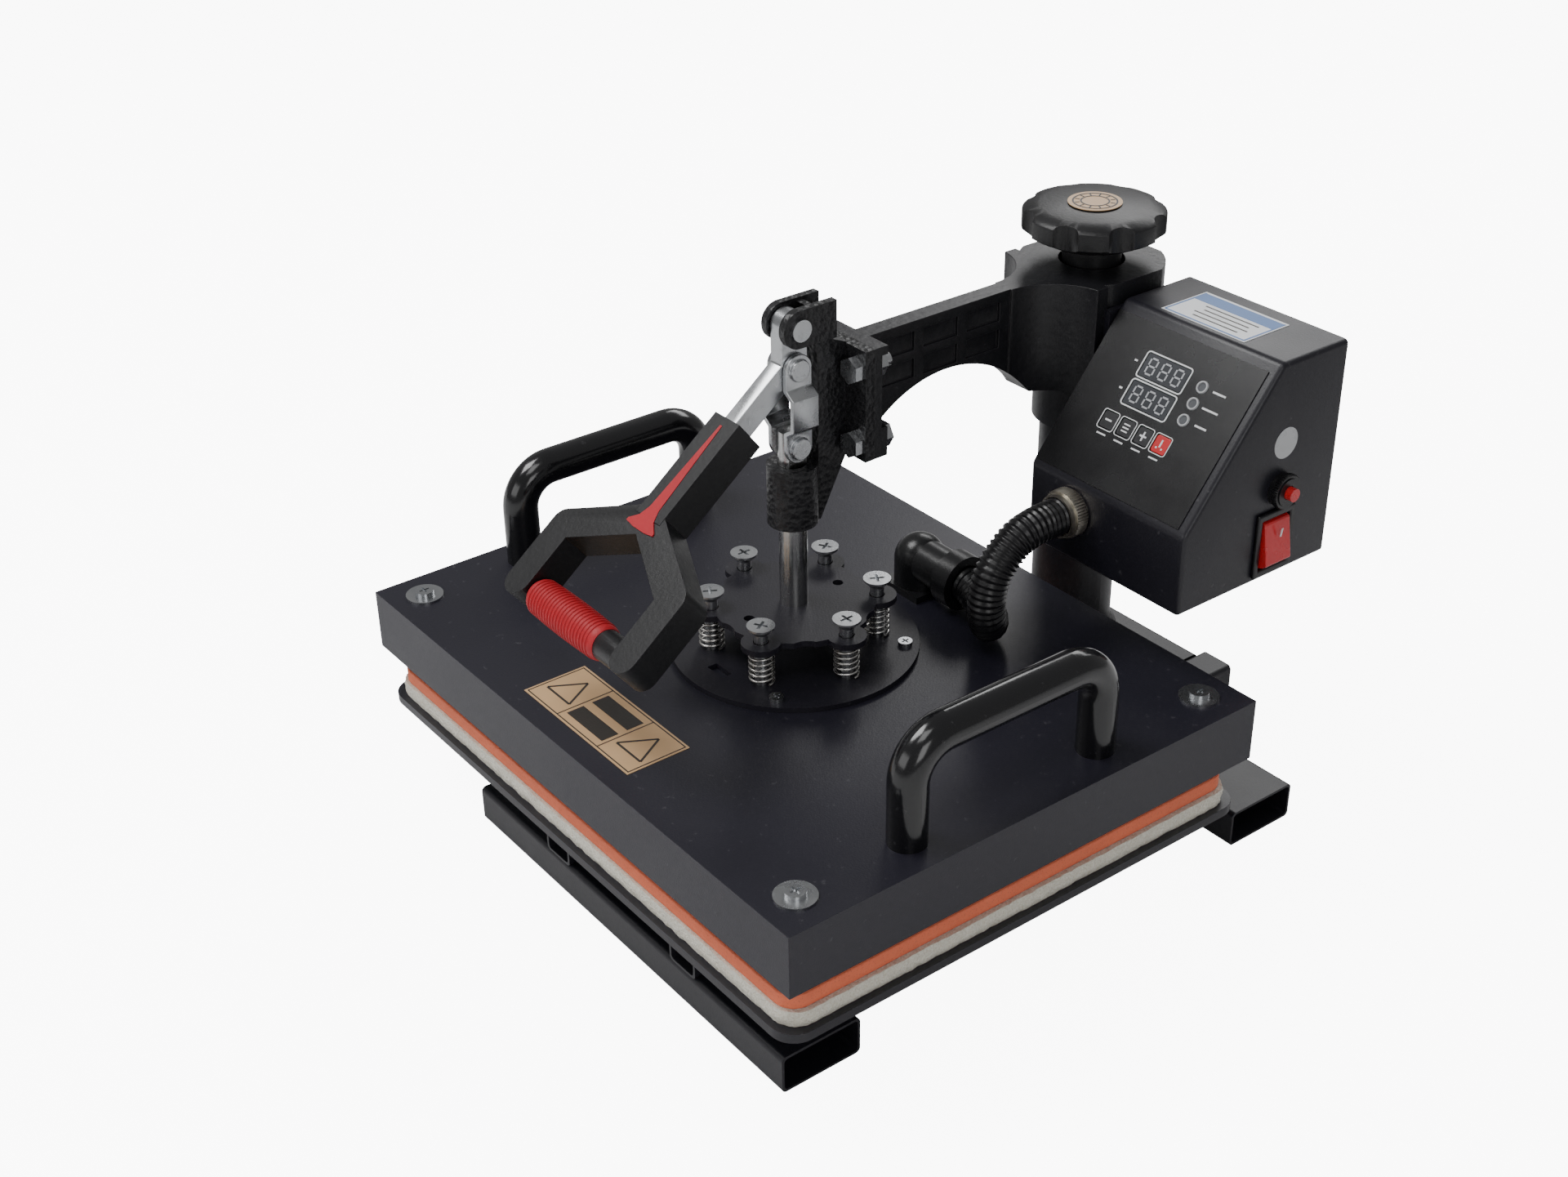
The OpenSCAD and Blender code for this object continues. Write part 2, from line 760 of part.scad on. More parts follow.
module platen_cover() {
    color("#242429") at_press() difference() {
        translate([-cover_w / 2, -cover_d / 2, skirt_z]) cube([cover_w, cover_d, cover_h]);
        translate([-cover_w / 2 + cover_t, -cover_d / 2 + cover_t, skirt_z - cut])
            cube([cover_w - 2 * cover_t, cover_d - 2 * cover_t, cover_h - cover_t + cut]);
        for (p = screw_spots) translate([p[0], p[1], cover_z - 5]) cylinder(h = 10, r = 3.2);
        for (p = handle_spots) translate([p[0], p[1], cover_z - 5]) cylinder(h = 10, r = 3.2);
        for (k = [0 : 5]) rotate(60 * k) translate([spring_circle, 0, cover_z - 5]) cylinder(h = 10, r = 4.2);
        for (x = [-42.6, 42.6], y = [-45, 45])
            translate([x, y, cover_z - 5]) cylinder(h = 10, r = 2.1);
        translate([elbow_axis[0] - 40, elbow_axis[1], cover_z - 5]) cylinder(h = 10, r = 8);
    }
}

heater_r = 4;
heater_runs = 5;
heater_gap = 54;

// One pass of the tubular element, lying half in a groove in the plate's top.
module heater_path(r) {
    run_len = plate_w - 110;
    for (k = [0 : heater_runs - 1])
        translate([-run_len / 2, (k - (heater_runs - 1) / 2) * heater_gap, plate_top]) rod_x(run_len, r);
    for (k = [0 : heater_runs - 2])
        translate([(k % 2 == 0 ? 1 : -1) * run_len / 2, (k + 0.5 - (heater_runs - 1) / 2) * heater_gap, plate_top])
            rotate([0, 0, k % 2 == 0 ? -90 : 90]) rotate_extrude(angle = 180)
                translate([heater_gap / 2, 0]) circle(r);
}

module heating_plate() {
    color("#c9cbce") at_press() difference() {
        translate([0, 0, plate_z]) linear_extrude(plate_t) round_rect(plate_w, plate_d, 4);
        heater_path(heater_r + slip);
        for (p = screw_spots) translate([p[0], p[1], plate_top - 8]) cylinder(h = 20, r = 2.5);
    }
}

module heater_element() {
    color("#7d7f83") at_press() heater_path(heater_r);
}

module insulation_pad() {
    color("#d9d2bd") at_press() difference() {
        translate([0, 0, plate_top + heater_r + 1]) linear_extrude(12) round_rect(plate_w - 20, plate_d - 20, 4);
        translate([0, 0, plate_top]) cylinder(h = 40, r = hub_r - 2);
        for (p = screw_spots) translate([p[0], p[1], plate_top]) cylinder(h = 40, r = 8);
    }
}

// Cast ring that carries the pressing force from the hub plate to the heating plate.
module load_ring() {
    color("#3a3b3f") at_press() difference() {
        translate([0, 0, plate_top]) ring(hub_r - 4, hub_r - 34, cover_z - cover_t - plate_top);
        heater_path(heater_r + 0.5);
        for (k = [0 : 5]) rotate(60 * k) translate([spring_circle, 0, cover_z - 20]) cylinder(h = 30, r = 4);
        for (x = [-42.6, 42.6], y = [-45, 45])
            translate([x, y, cover_z - 10]) cylinder(h = 12, r = 2);
    }
}

module hub_plate() {
    color("#1a1a1d") at_press() difference() {
        translate([0, 0, cover_z]) cylinder(h = hub_t, r = hub_r, $fn = 96);
        for (k = [0 : 5]) rotate(60 * k) translate([spring_circle, 0, cover_z - cut]) cylinder(h = 10, r = 4);
        for (x = [-42.6, 42.6], y = [-45, 45])
            translate([x, y, cover_z - cut]) cylinder(h = 10, r = 2);
        translate([-7, -55, cover_z - cut]) cube([14, 6, 10]);
    }
}

screw_lift = 5;

// Countersunk screws that hold the platen to the spider plate through the springs.
module spring_screws() {
    color("#d2d6da") at_press() for (k = [0 : 5]) rotate(60 * k) translate([spring_circle, 0, 0]) {
        translate([0, 0, cover_z - 18]) cylinder(h = spider_top + screw_lift + 1 - cover_z + 18, r = 4);
        difference() {
            union() {
                translate([0, 0, spider_top + screw_lift]) cylinder(h = 4, r1 = 4, r2 = 7.8);
                translate([0, 0, spider_top + screw_lift + 4]) cylinder(h = 1.2, r = 7.8);
            }
            for (a = [0, 90]) rotate(a) translate([-4, -0.8, spider_top + screw_lift + 3]) cube([8, 1.6, 5]);
        }
    }
}

// Each spring is the sleeve that its coils fill.
module springs() {
    color("#c9ced3") at_press() for (k = [0 : 5]) rotate(60 * k)
        translate([spring_circle, 0, hub_z]) ring(spring_r, spring_r - 1.7, spring_h);
}

// Pan-head screws that hold the hub plate to the load ring.
module hub_screws() {
    color("#b9bbbf") at_press() for (x = [-42.6, 42.6], y = [-45, 45]) translate([x, y, 0]) {
        translate([0, 0, cover_z - 9]) cylinder(h = 10 + hub_t, r = 2);
        difference() {
            translate([0, 0, hub_z]) cylinder(h = 2.4, r = 4);
            for (a = [0, 90]) rotate(a) translate([-2.4, -0.5, hub_z + 1.2]) cube([4.8, 1, 4]);
        }
    }
}

module cover_screws() {
    color("#c9ced3") at_press() for (p = screw_spots) translate([p[0], p[1], 0]) difference() {
        union() {
            translate([0, 0, cover_z]) cylinder(h = 1.2, r = 11);
            translate([0, 0, cover_z + 1.2]) cylinder(h = 2.6, r = 5.5);
            translate([0, 0, plate_top - 7]) cylinder(h = cover_z - plate_top + 8, r = 2.5);
            translate([0, 0, plate_top]) cylinder(h = cover_z - cover_t - plate_top, r = 6);
        }
        for (a = [0, 90]) rotate(a) translate([-3, -0.6, cover_z + 2.4]) cube([6, 1.2, 5]);
    }
}

grip_bend = 22;

module u_handle(x) {
    rise = grip_rise - grip_tube_r;
    leg = rise - grip_bend;
    translate([x, -4.5, cover_z]) {
        for (s = [-1, 1]) {
            translate([0, s * grip_span / 2, 0]) cylinder(h = leg, r = grip_tube_r);
            translate([0, s * (grip_span / 2 - grip_bend), leg]) rotate([90, 0, 90 * s])
                rotate_extrude(angle = 90) translate([grip_bend, 0]) circle(grip_tube_r);
        }
        translate([0, -grip_span / 2 + grip_bend, rise]) rod_y(grip_span - 2 * grip_bend, grip_tube_r);
    }
}

module u_handles() {
    color("#0f0f11") at_press() for (s = [-1, 1]) u_handle(s * handle_x);
}

// Moulded elbow that takes the wires from the hose down into the platen.
module elbow_fitting() {
    color("#141416") at_press() difference() {
        union() {
            translate([elbow_axis[0] - 40, elbow_axis[1], cover_z]) cylinder(h = 19, r = 15);
            translate([elbow_axis[0] - 40, elbow_axis[1], cover_z + 19]) sphere(r = 15);
            translate([elbow_axis[0] - 56, elbow_axis[1] - 16, cover_z]) cube([32, 32, 4]);
            translate(elbow_axis - [40, 0, 0]) rod_x(36, 13);
            translate(elbow_axis - [12, 0, 0]) rod_x(12, 16.5);
        }
        translate([elbow_axis[0] - 40, elbow_axis[1], cover_z - cut]) cylinder(h = 20, r = 7);
        translate(elbow_axis - [40, 0, 0]) rod_x(50, 7);
        translate(elbow_axis - [3, 0, 0]) rod_x(10, hose_r + clear);
    }
}

module hose() {
    color("#0d0d0f") at_press() swept_tube(hose_path, hose_r, 12);
}

module cover_label() {
    color("#cfa76b") at_press() translate([-54, -144, cover_z]) cube([101, 39, 0.3]);
}

// ---- Lever, handle and links ----

// Puts children along the lever: y from the middle pin outwards, x across, z below the lever.
module on_lever() {
    translate([0, pin_y, mid_pin_z]) rotate([180 + lever_slope, 0, 0]) children();
}

lever_half = 5;
link_end_r = 8.5;
grip_end = 24;

module toggle_lever() {
    color("#c4c9ce") at_press() difference() {
        union() {
            for (z = [top_pin_z, mid_pin_z])
                translate([-lever_half, pin_y, z]) rod_x(2 * lever_half, 8.5);
            translate([-lever_half, pin_y - 8.5, mid_pin_z]) cube([2 * lever_half, 17, crank_len]);
            on_lever() translate([-lever_half, 0, -8]) cube([2 * lever_half, 62, 14]);
        }
        translate([-20, pin_y, top_pin_z]) rod_x(40, pin_r + slip);
        translate([-20, pin_y, mid_pin_z]) rod_x(40, pin_r + slip);
    }
}

// Plain bar between two points of the lever plane, with round ends.
module bar(a, b, w, t) {
    hull() {
        translate([a[0], a[1], 0]) cylinder(h = t, r = w, center = true, $fn = 28);
        translate([b[0], b[1], 0]) cylinder(h = t, r = w, center = true, $fn = 28);
    }
}

module yoke_handle() {
    knee = fork_at + 27;
    color("#161618") at_press() on_lever() difference() {
        union() {
            translate([-10.5, 43, -10.5]) cube([21, fork_at - 43, 21]);
            for (s = [-1, 1]) {
                bar([0, fork_at], [s * yoke_half, knee], 9, 20);
                bar([s * yoke_half, knee], [s * yoke_half, grip_at], 9, 20);
            }
            translate([-yoke_half, grip_at, 0]) rod_x(2 * yoke_half, 5.5);
            translate([grip_end, grip_at, 0]) rod_x(yoke_half - grip_end, 8.6);
        }
        translate([-lever_half, 20, -8]) cube([2 * lever_half, 42, 14]);
    }
}

// Ribbed rubber sleeve over the handle's cross bar.
module grip_sleeve() {
    sleeve_len = yoke_half - 11 + grip_end;
    color("#c8252c") at_press() on_lever() translate([grip_end - sleeve_len, grip_at, 0]) difference() {
        rod_x(sleeve_len, 10.5);
        translate([-cut, 0, 0]) rod_x(sleeve_len + 2 * cut, 5.5);
    }
}

// One link plate: bowed outward between its pins, with round ends.
module link_side() {
    in = tongue_half + clear;
    intersection() {
        rotate([90, 0, 0]) linear_extrude(18, center = true) polygon([
            [in, low_pin_z - 10], [in + 3, low_pin_z - 10], [in + 3, low_pin_z + 9],
            [in + 9, low_pin_z + 13], [in + 9, low_pin_z + 31], [in + 3, low_pin_z + 35],
            [in + 3, mid_pin_z + 10], [in, mid_pin_z + 10], [in, low_pin_z + 34],
            [in + 6, low_pin_z + 30], [in + 6, low_pin_z + 14], [in, low_pin_z + 10]
        ]);
        union() {
            translate([0, 0, low_pin_z]) rod_x(20, link_end_r);
            translate([0, 0, mid_pin_z]) rod_x(20, link_end_r);
            translate([0, -link_end_r, low_pin_z]) cube([20, 2 * link_end_r, link_len]);
        }
    }
}

// The pair of link plates with the rivet that joins them to the lever, and a stub rivet each
// below, which faces the plunger's tongue without entering it.
module link_plates() {
    in = tongue_half + clear;
    color("#c4c9ce") at_press() {
        for (s = [0, 1]) mirror([s, 0, 0]) {
            difference() {
                translate([0, pin_y, 0]) link_side();
                translate([0, pin_y, mid_pin_z]) rod_x(20, pin_r);
            }
            translate([in + 3, pin_y, low_pin_z]) rod_x(2.5, 6);
        }
        translate([0, pin_y, mid_pin_z]) rivet_x(in + 3, 6);
    }
}

front_foot();
rear_foot();
left_rail();
right_rail();
rear_beam();
post();
pressure_nut();
lower_tray();
tray_screws();
felt_pad();
silicone_pad();
lift_collar();
pressure_knob();
pressure_screw();
knob_badge();
arm_casting();
clamp_body();
clamp_bolts();
lever_pin();
control_box();
box_back();
box_bracket();
bracket_screws();
panel_overlay();
displays();
indicator_lamps();
key_minus();
key_mode();
key_plus();
key_start();
circuit_board();
transformer();
switch_bezel();
power_rocker();
breaker_body();
breaker_button();
hose_fitting();
cord_gland();
top_label();
plunger_shaft();
spider_plate();
shaft_nut();
platen_cover();
heating_plate();
heater_element();
insulation_pad();
load_ring();
hub_plate();
spring_screws();
springs();
hub_screws();
cover_screws();
u_handles();
elbow_fitting();
hose();
cover_label();
toggle_lever();
yoke_handle();
grip_sleeve();
link_plates();
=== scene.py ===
# %% [markdown]
# # A swing-away heat press
# The frame of this model is a imported CAD assembly, in metres. Blender adds the looks: rounded
# edges, springs, a corrugated hose, printed marks and painted, plated and rubber finishes.
# Every piece but the corrugated hose rides on a CAD body, so the press still opens and swings afterwards.

# %% Load the frame
import math

import bmesh
import bpy
from mathutils import Matrix, Vector, noise


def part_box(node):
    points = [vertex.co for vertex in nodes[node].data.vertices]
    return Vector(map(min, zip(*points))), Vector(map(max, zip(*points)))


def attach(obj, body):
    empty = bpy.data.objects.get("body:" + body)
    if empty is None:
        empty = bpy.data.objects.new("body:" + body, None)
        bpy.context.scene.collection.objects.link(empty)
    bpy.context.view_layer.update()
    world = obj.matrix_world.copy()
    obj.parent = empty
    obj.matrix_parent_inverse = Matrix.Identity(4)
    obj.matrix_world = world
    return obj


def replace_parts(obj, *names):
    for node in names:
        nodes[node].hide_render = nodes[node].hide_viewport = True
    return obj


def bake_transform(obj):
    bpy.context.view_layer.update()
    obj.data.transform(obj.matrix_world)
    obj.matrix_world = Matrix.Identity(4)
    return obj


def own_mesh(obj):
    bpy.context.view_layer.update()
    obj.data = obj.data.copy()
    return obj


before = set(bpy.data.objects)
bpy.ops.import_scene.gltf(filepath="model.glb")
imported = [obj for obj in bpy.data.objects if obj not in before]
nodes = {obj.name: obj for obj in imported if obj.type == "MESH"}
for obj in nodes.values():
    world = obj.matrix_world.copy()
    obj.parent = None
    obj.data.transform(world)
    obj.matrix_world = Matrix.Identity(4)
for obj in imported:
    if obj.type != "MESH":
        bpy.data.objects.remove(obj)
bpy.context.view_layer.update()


def middle(node):
    low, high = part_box(node)
    return (low + high) / 2


press = Vector((0, middle("silicone_pad").y, 0))
print("press axis:", press)

# %% [markdown]
# The camera stands front right and looks down at the press. Its place and turn are written as
# numbers: two angles, a small roll and a focal length.

# %% Camera
turn, tilt, roll = math.radians(53.181), math.radians(30.413), math.radians(-0.983)
right = Vector((math.cos(turn), math.sin(turn), 0))
back = Vector((math.sin(turn) * math.cos(tilt), -math.cos(turn) * math.cos(tilt), math.sin(tilt)))
up = back.cross(right)
rolled_right = math.cos(roll) * right + math.sin(roll) * up
rolled_up = math.cos(roll) * up - math.sin(roll) * right
lens = bpy.data.cameras.new("camera")
lens.sensor_width = 36
lens.lens = 48.49
lens.clip_start = 0.05
camera = bpy.data.objects.new("camera", lens)
bpy.context.scene.collection.objects.link(camera)
stand = Matrix((rolled_right, rolled_up, back)).transposed().to_4x4()
stand.translation = press + Vector((0.802285, -0.60746, 0.7508))
camera.matrix_world = stand
bpy.context.scene.camera = camera
print("camera at", stand.translation)

# %% [markdown]
# Shader nodes are easier to read as sums. `Value` wraps a socket, so that `1 - mask` or
# `0.4 + 0.1 * grain` adds the Math nodes for it. `Finish` makes any other node from its type,
# its settings and its sockets, and ends in one Principled shader.

# %% Shader maths
class Value:
    def __init__(self, finish, socket):
        self.finish, self.socket = finish, socket

    def maths(self, operation, first, second):
        return self.finish.add("ShaderNodeMath", {"operation": operation}, {0: first, 1: second})

    def __add__(self, other):
        return self.maths("ADD", self, other)

    def __radd__(self, other):
        return self.maths("ADD", other, self)

    def __sub__(self, other):
        return self.maths("SUBTRACT", self, other)

    def __rsub__(self, other):
        return self.maths("SUBTRACT", other, self)

    def __mul__(self, other):
        return self.maths("MULTIPLY", self, other)

    def __rmul__(self, other):
        return self.maths("MULTIPLY", other, self)

    def above(self, low, high):
        """0 under low, 1 over high, smooth between."""
        return self.finish.add("ShaderNodeMapRange", {"interpolation_type": "SMOOTHSTEP"},
                               {0: self, 1: low, 2: high})


class Finish:
    def __init__(self, name):
        self.material = bpy.data.materials.new(name)
        self.material.use_nodes = True
        self.tree = self.material.node_tree
        self.tree.nodes.clear()
        self.place = self.add("ShaderNodeTexCoord", output="Object")

    def add(self, kind, settings=None, sockets=None, output=0):
        node = self.tree.nodes.new(kind)
        for key, value in (settings or {}).items():
            setattr(node, key, value)
        for key, value in (sockets or {}).items():
            if isinstance(value, Value):
                self.tree.links.new(value.socket, node.inputs[key])
            else:
                node.inputs[key].default_value = value
        return Value(self, node.outputs[output])

    def noise(self, scale, detail=3.0, stretch=(1, 1, 1)):
        where = self.add("ShaderNodeMapping", None, {"Vector": self.place, "Scale": stretch})
        return self.add("ShaderNodeTexNoise", None, {"Vector": where, "Scale": scale, "Detail": detail})

    def cells(self, scale, output="Distance"):
        return self.add("ShaderNodeTexVoronoi", None, {"Vector": self.place, "Scale": scale},
                        output=output)

    def mix(self, factor, first, second):
        return self.add("ShaderNodeMix", {"data_type": "RGBA"},
                        {0: factor, 6: colour(first), 7: colour(second)}, output=2)

    def done(self, base, rough, height=None, depth=0.0001, **constants):
        sockets = {"Base Color": colour(base), "Roughness": rough}
        sockets.update({key.replace("_", " "): value for key, value in constants.items()})
        if height is not None:
            sockets["Normal"] = self.add("ShaderNodeBump", None,
                                         {"Strength": 1.0, "Distance": depth, "Height": height})
        shader = self.add("ShaderNodeBsdfPrincipled", None, sockets)
        self.add_output(shader)
        return self.material

    def add_output(self, shader):
        output = self.tree.nodes.new("ShaderNodeOutputMaterial")
        self.tree.links.new(shader.socket, output.inputs["Surface"])


def colour(value):
    return value if isinstance(value, Value) else (*value, 1.0)


def shade(base, amount):
    return tuple(min(1.0, channel * amount) for channel in base)


# %% [markdown]
# Black powder coat is most of this press. Up close it is a fine orange peel, with slow changes of
# gloss and a little pale dust. The same recipe, made coarser, gives the castings.

# %% Painted metal
def painted(name, base, rough, peel=900.0, depth=0.00006, dust=0.5, coat=0.0):
    f = Finish(name)
    grain = f.noise(peel, 2.0)
    cloud = f.noise(13.0, 4.0)
    specks = f.noise(230.0, 6.0).above(0.66, 0.74) * dust
    body = f.mix(cloud, shade(base, 0.85), shade(base, 1.2))
    body = f.mix(specks * 0.12, body, (0.35, 0.35, 0.37))
    return f.done(body, rough + 0.14 * cloud + 0.1 * specks - 0.07, grain, depth,
                  Coat_Weight=coat, Coat_Roughness=0.12)


def hammered(name, base, rough):
    f = Finish(name)
    dimples = f.cells(320.0)
    fine = f.noise(500.0, 4.0)
    body = f.mix(dimples.above(0.1, 0.7), shade(base, 0.75), shade(base, 1.5))
    return f.done(body, rough + 0.15 * fine - 0.05, dimples + 0.5 * fine, 0.0005, Coat_Weight=0.1)


frame_paint = painted("frame_paint", (0.0130, 0.0125, 0.0170), 0.38)
post_paint = painted("post_paint", (0.016, 0.0155, 0.019), 0.38)
tray_paint = painted("tray_paint", (0.0120, 0.0115, 0.0165), 0.32, peel=600.0)
cover_paint = painted("cover_paint", (0.0130, 0.0122, 0.0205), 0.38, peel=1100.0, dust=0.7)
box_paint = painted("box_paint", (0.0100, 0.0095, 0.0145), 0.36, peel=1000.0, dust=0.7)
plate_paint = painted("plate_paint", (0.012, 0.011, 0.017), 0.40)
arm_paint = painted("arm_paint", (0.009, 0.009, 0.011), 0.36, peel=260.0, depth=0.0002)
handle_paint = painted("handle_paint", (0.005, 0.005, 0.006), 0.18, peel=380.0, depth=0.00004, coat=0.4)
clamp_paint = hammered("clamp_paint", (0.008, 0.008, 0.009), 0.34)
print("painted finishes made")


# %% [markdown]
# Bright zinc plate is not a mirror: its roughness wanders and a faint yellow and blue tint lies
# over it. Turned steel has fine rings round its axis, and cast aluminium a soft grain.

# %% Bare and plated metal
def metal(name, base, rough, tint=0.06, stretch=(1, 1, 1), grain=700.0, depth=0.00003):
    f = Finish(name)
    cloud = f.noise(60.0, 5.0)
    lines = f.noise(grain, 3.0, stretch)
    stain = f.noise(220.0, 4.0).above(0.6, 0.8)
    warm = (base[0] * (1 + tint), base[1], base[2] * (1 - 2 * tint))
    body = f.mix(cloud, shade(base, 0.82), warm)
    body = f.mix(stain * 0.35, body, shade(base, 0.45))
    return f.done(body, rough + 0.2 * cloud + 0.15 * stain - 0.1, lines, depth, Metallic=1.0)


zinc = metal("zinc", (0.60, 0.62, 0.65), 0.27, 0.02)
turned_steel = metal("turned_steel", (0.66, 0.67, 0.68), 0.22, 0.02, (1, 1, 9), 500.0)
spring_wire = metal("spring_wire", (0.72, 0.73, 0.75), 0.26)
cast_aluminium = metal("cast_aluminium", (0.78, 0.78, 0.78), 0.38, 0.01, grain=300.0)
knurled_metal = metal("knurled_metal", (0.64, 0.62, 0.57), 0.32)
dark_iron = metal("dark_iron", (0.14, 0.14, 0.14), 0.55)
print("metal finishes made")


# %% [markdown]
# Moulded plastics differ by their grain: glossy film has almost none, a moulded grip has a fine
# leather-like one. Rubber and silicone are matt and slightly mottled, and felt is a mat of fibres.

# %% Plastic, rubber and cloth
def moulded(name, base, rough, grain=900.0, depth=0.00006, coat=0.0, swing=0.12):
    f = Finish(name)
    fine = f.noise(grain, 3.0)
    cloud = f.noise(40.0, 4.0)
    body = f.mix(cloud, shade(base, 0.88), shade(base, 1.12))
    return f.done(body, rough + swing * cloud - swing / 2, fine, depth,
                  Coat_Weight=coat, Coat_Roughness=0.06)


def fibrous(name, base, dark, scale):
    f = Finish(name)
    mat = f.noise(scale, 8.0)
    tufts = f.noise(scale * 0.22, 5.0)
    body = f.mix(mat.above(0.3, 0.7), dark, base)
    return f.done(body, 0.9 + 0.08 * mat, mat + tufts, 0.0012, Sheen_Weight=0.3)


def sponge(name, base):
    f = Finish(name)
    pores = f.cells(650.0)
    cloud = f.noise(25.0, 4.0)
    body = f.mix(cloud, shade(base, 0.84), shade(base, 1.12))
    # The pore hollows are darkened towards a deep red: painted shade in the pores, on top of the real mottling.
    body = f.mix((1 - pores.above(0.05, 0.35)) * 0.5, body, shade(base, 0.55))
    return f.done(body, 0.62 + 0.12 * cloud, pores, 0.0002)


black_plastic = moulded("black_plastic", (0.008, 0.008, 0.009), 0.30)
yoke_plastic = moulded("yoke_plastic", (0.009, 0.009, 0.010), 0.40, 420.0, 0.0001)
knob_plastic = moulded("knob_plastic", (0.008, 0.008, 0.009), 0.38, 500.0, 0.0001)
conduit_plastic = moulded("conduit_plastic", (0.006, 0.006, 0.007), 0.30)
key_plastic = moulded("key_plastic", (0.008, 0.008, 0.010), 0.32)
panel_film = moulded("panel_film", (0.004, 0.004, 0.005), 0.26, 300.0, 0.00001, 0.0)
red_plastic = moulded("red_plastic", (0.60, 0.018, 0.022), 0.26, 700.0, 0.00003, 0.3)
red_rubber = moulded("red_rubber", (0.46, 0.010, 0.018), 0.52, 600.0, 0.00012)
red_inlay = moulded("red_inlay", (0.50, 0.010, 0.020), 0.34, 500.0, 0.00006)
window_grey = moulded("window_grey", (0.045, 0.048, 0.055), 0.2, 500.0, 0.00001, 0.1)
ghost_grey = moulded("ghost_grey", (0.42, 0.43, 0.45), 0.40)
lens_grey = moulded("lens_grey", (0.12, 0.125, 0.135), 0.14, 500.0, 0.00001, 0.3)
white_ink = moulded("white_ink", (0.80, 0.81, 0.82), 0.40)
black_ink = moulded("black_ink", (0.03, 0.025, 0.02), 0.40)
blue_ink = moulded("blue_ink", (0.05, 0.16, 0.42), 0.35)
gold_film = moulded("gold_film", (0.62, 0.40, 0.21), 0.34, 200.0, 0.00004)
white_film = moulded("white_film", (0.78, 0.80, 0.82), 0.30, 200.0, 0.00003)
silver_film = moulded("silver_film", (0.50, 0.51, 0.52), 0.28, 200.0, 0.00003)
board_green = moulded("board_green", (0.02, 0.16, 0.06), 0.45)
felt_wool = fibrous("felt_wool", (0.92, 0.89, 0.78), (0.74, 0.69, 0.56), 900.0)
fibre_blanket = fibrous("fibre_blanket", (0.78, 0.74, 0.66), (0.6, 0.56, 0.48), 500.0)
silicone = sponge("silicone", (0.86, 0.19, 0.09))
print("plastic, rubber and cloth finishes made")

# %% [markdown]
# A CAD node whose shape is right keeps its mesh and takes a finish in its material slot.

# %% Finishes on CAD nodes
finishes = {
    post_paint: "post lift_collar",
    frame_paint: "front_foot rear_foot left_rail right_rail rear_beam",
    zinc: "tray_screws clamp_bolts bracket_screws shaft_nut spring_screws hub_screws cover_screws "
          "lever_pin",
    turned_steel: "pressure_nut pressure_screw plunger_shaft",
    gold_film: "knob_badge cover_label",
    handle_paint: "u_handles",
    box_paint: "box_back box_bracket",
    window_grey: "displays",
    lens_grey: "indicator_lamps",
    board_green: "circuit_board",
    dark_iron: "transformer heater_element load_ring",
    black_plastic: "breaker_body cord_gland elbow_fitting",
    red_plastic: "breaker_button",
    knurled_metal: "hose_fitting",
    white_film: "top_label",
    plate_paint: "hub_plate spider_plate",
    fibre_blanket: "insulation_pad",
}
for finish, names in finishes.items():
    for name in names.split():
        nodes[name].data.materials.clear()
        nodes[name].data.materials.append(finish)
print("nodes with a finish of their own:", sum(len(names.split()) for names in finishes.values()))


# %% [markdown]
# Real sheet metal and castings have no razor edges, and an edge that catches the light is what
# makes an object look solid. For these nodes a copy of the CAD mesh is merged, its flat triangles
# are dissolved into faces, and a Bevel modifier rounds the edges. The copy stands for the node.

# %% Rounded copies of CAD nodes
def smooth_faces(mesh, angle=32):
    mesh.shade_smooth()
    mesh.set_sharp_from_angle(angle=math.radians(angle))


def rounded(node, width, finish, body, segments=2, angle=38, round_first=None):
    work = bmesh.new()
    work.from_mesh(nodes[node].data)
    bmesh.ops.remove_doubles(work, verts=work.verts, dist=0.00001)
    bmesh.ops.dissolve_limit(work, angle_limit=math.radians(0.6), verts=work.verts, edges=work.edges,
                             delimit={"NORMAL"})
    if round_first:
        radius, wanted = round_first
        bmesh.ops.bevel(work, geom=[edge for edge in work.edges if wanted(edge)], offset=radius,
                        segments=5, profile=0.5, affect="EDGES", material=-1, clamp_overlap=False)
    mesh = bpy.data.meshes.new(node + "_rounded")
    work.to_mesh(mesh)
    work.free()
    smooth_faces(mesh, angle)
    piece = bpy.data.objects.new(node + "_rounded", mesh)
    bpy.context.scene.collection.objects.link(piece)
    mesh.materials.append(finish)
    bevel = piece.modifiers.new("edges", "BEVEL")
    bevel.width = width
    bevel.segments = segments
    bevel.limit_method = "ANGLE"
    bevel.angle_limit = math.radians(angle)
    bevel.harden_normals = True
    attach(piece, body)
    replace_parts(piece, node)
    print(piece.name, "has", len(mesh.polygons), "faces before its edges are rounded")
    return piece


rounded("platen_cover", 0.0012, cover_paint, "platen")


def outer_box_edge(edge):
    """A long edge on the outside of the control box, away from its open back and its cut-outs."""
    low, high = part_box("control_box")
    ends = [v.co for v in edge.verts]
    if edge.calc_length() < 0.045 or any(abs(end.y - high.y) < 0.0001 for end in ends) and \
            abs(ends[0].y - ends[1].y) < 0.0001:
        return False
    outer = [abs(end.x - low.x) < 0.0001 or abs(end.x - high.x) < 0.0001 for end in ends]
    if not all(outer):
        return False
    faces = edge.link_faces
    return len(faces) == 2 and faces[0].normal.angle(faces[1].normal) > math.radians(30)


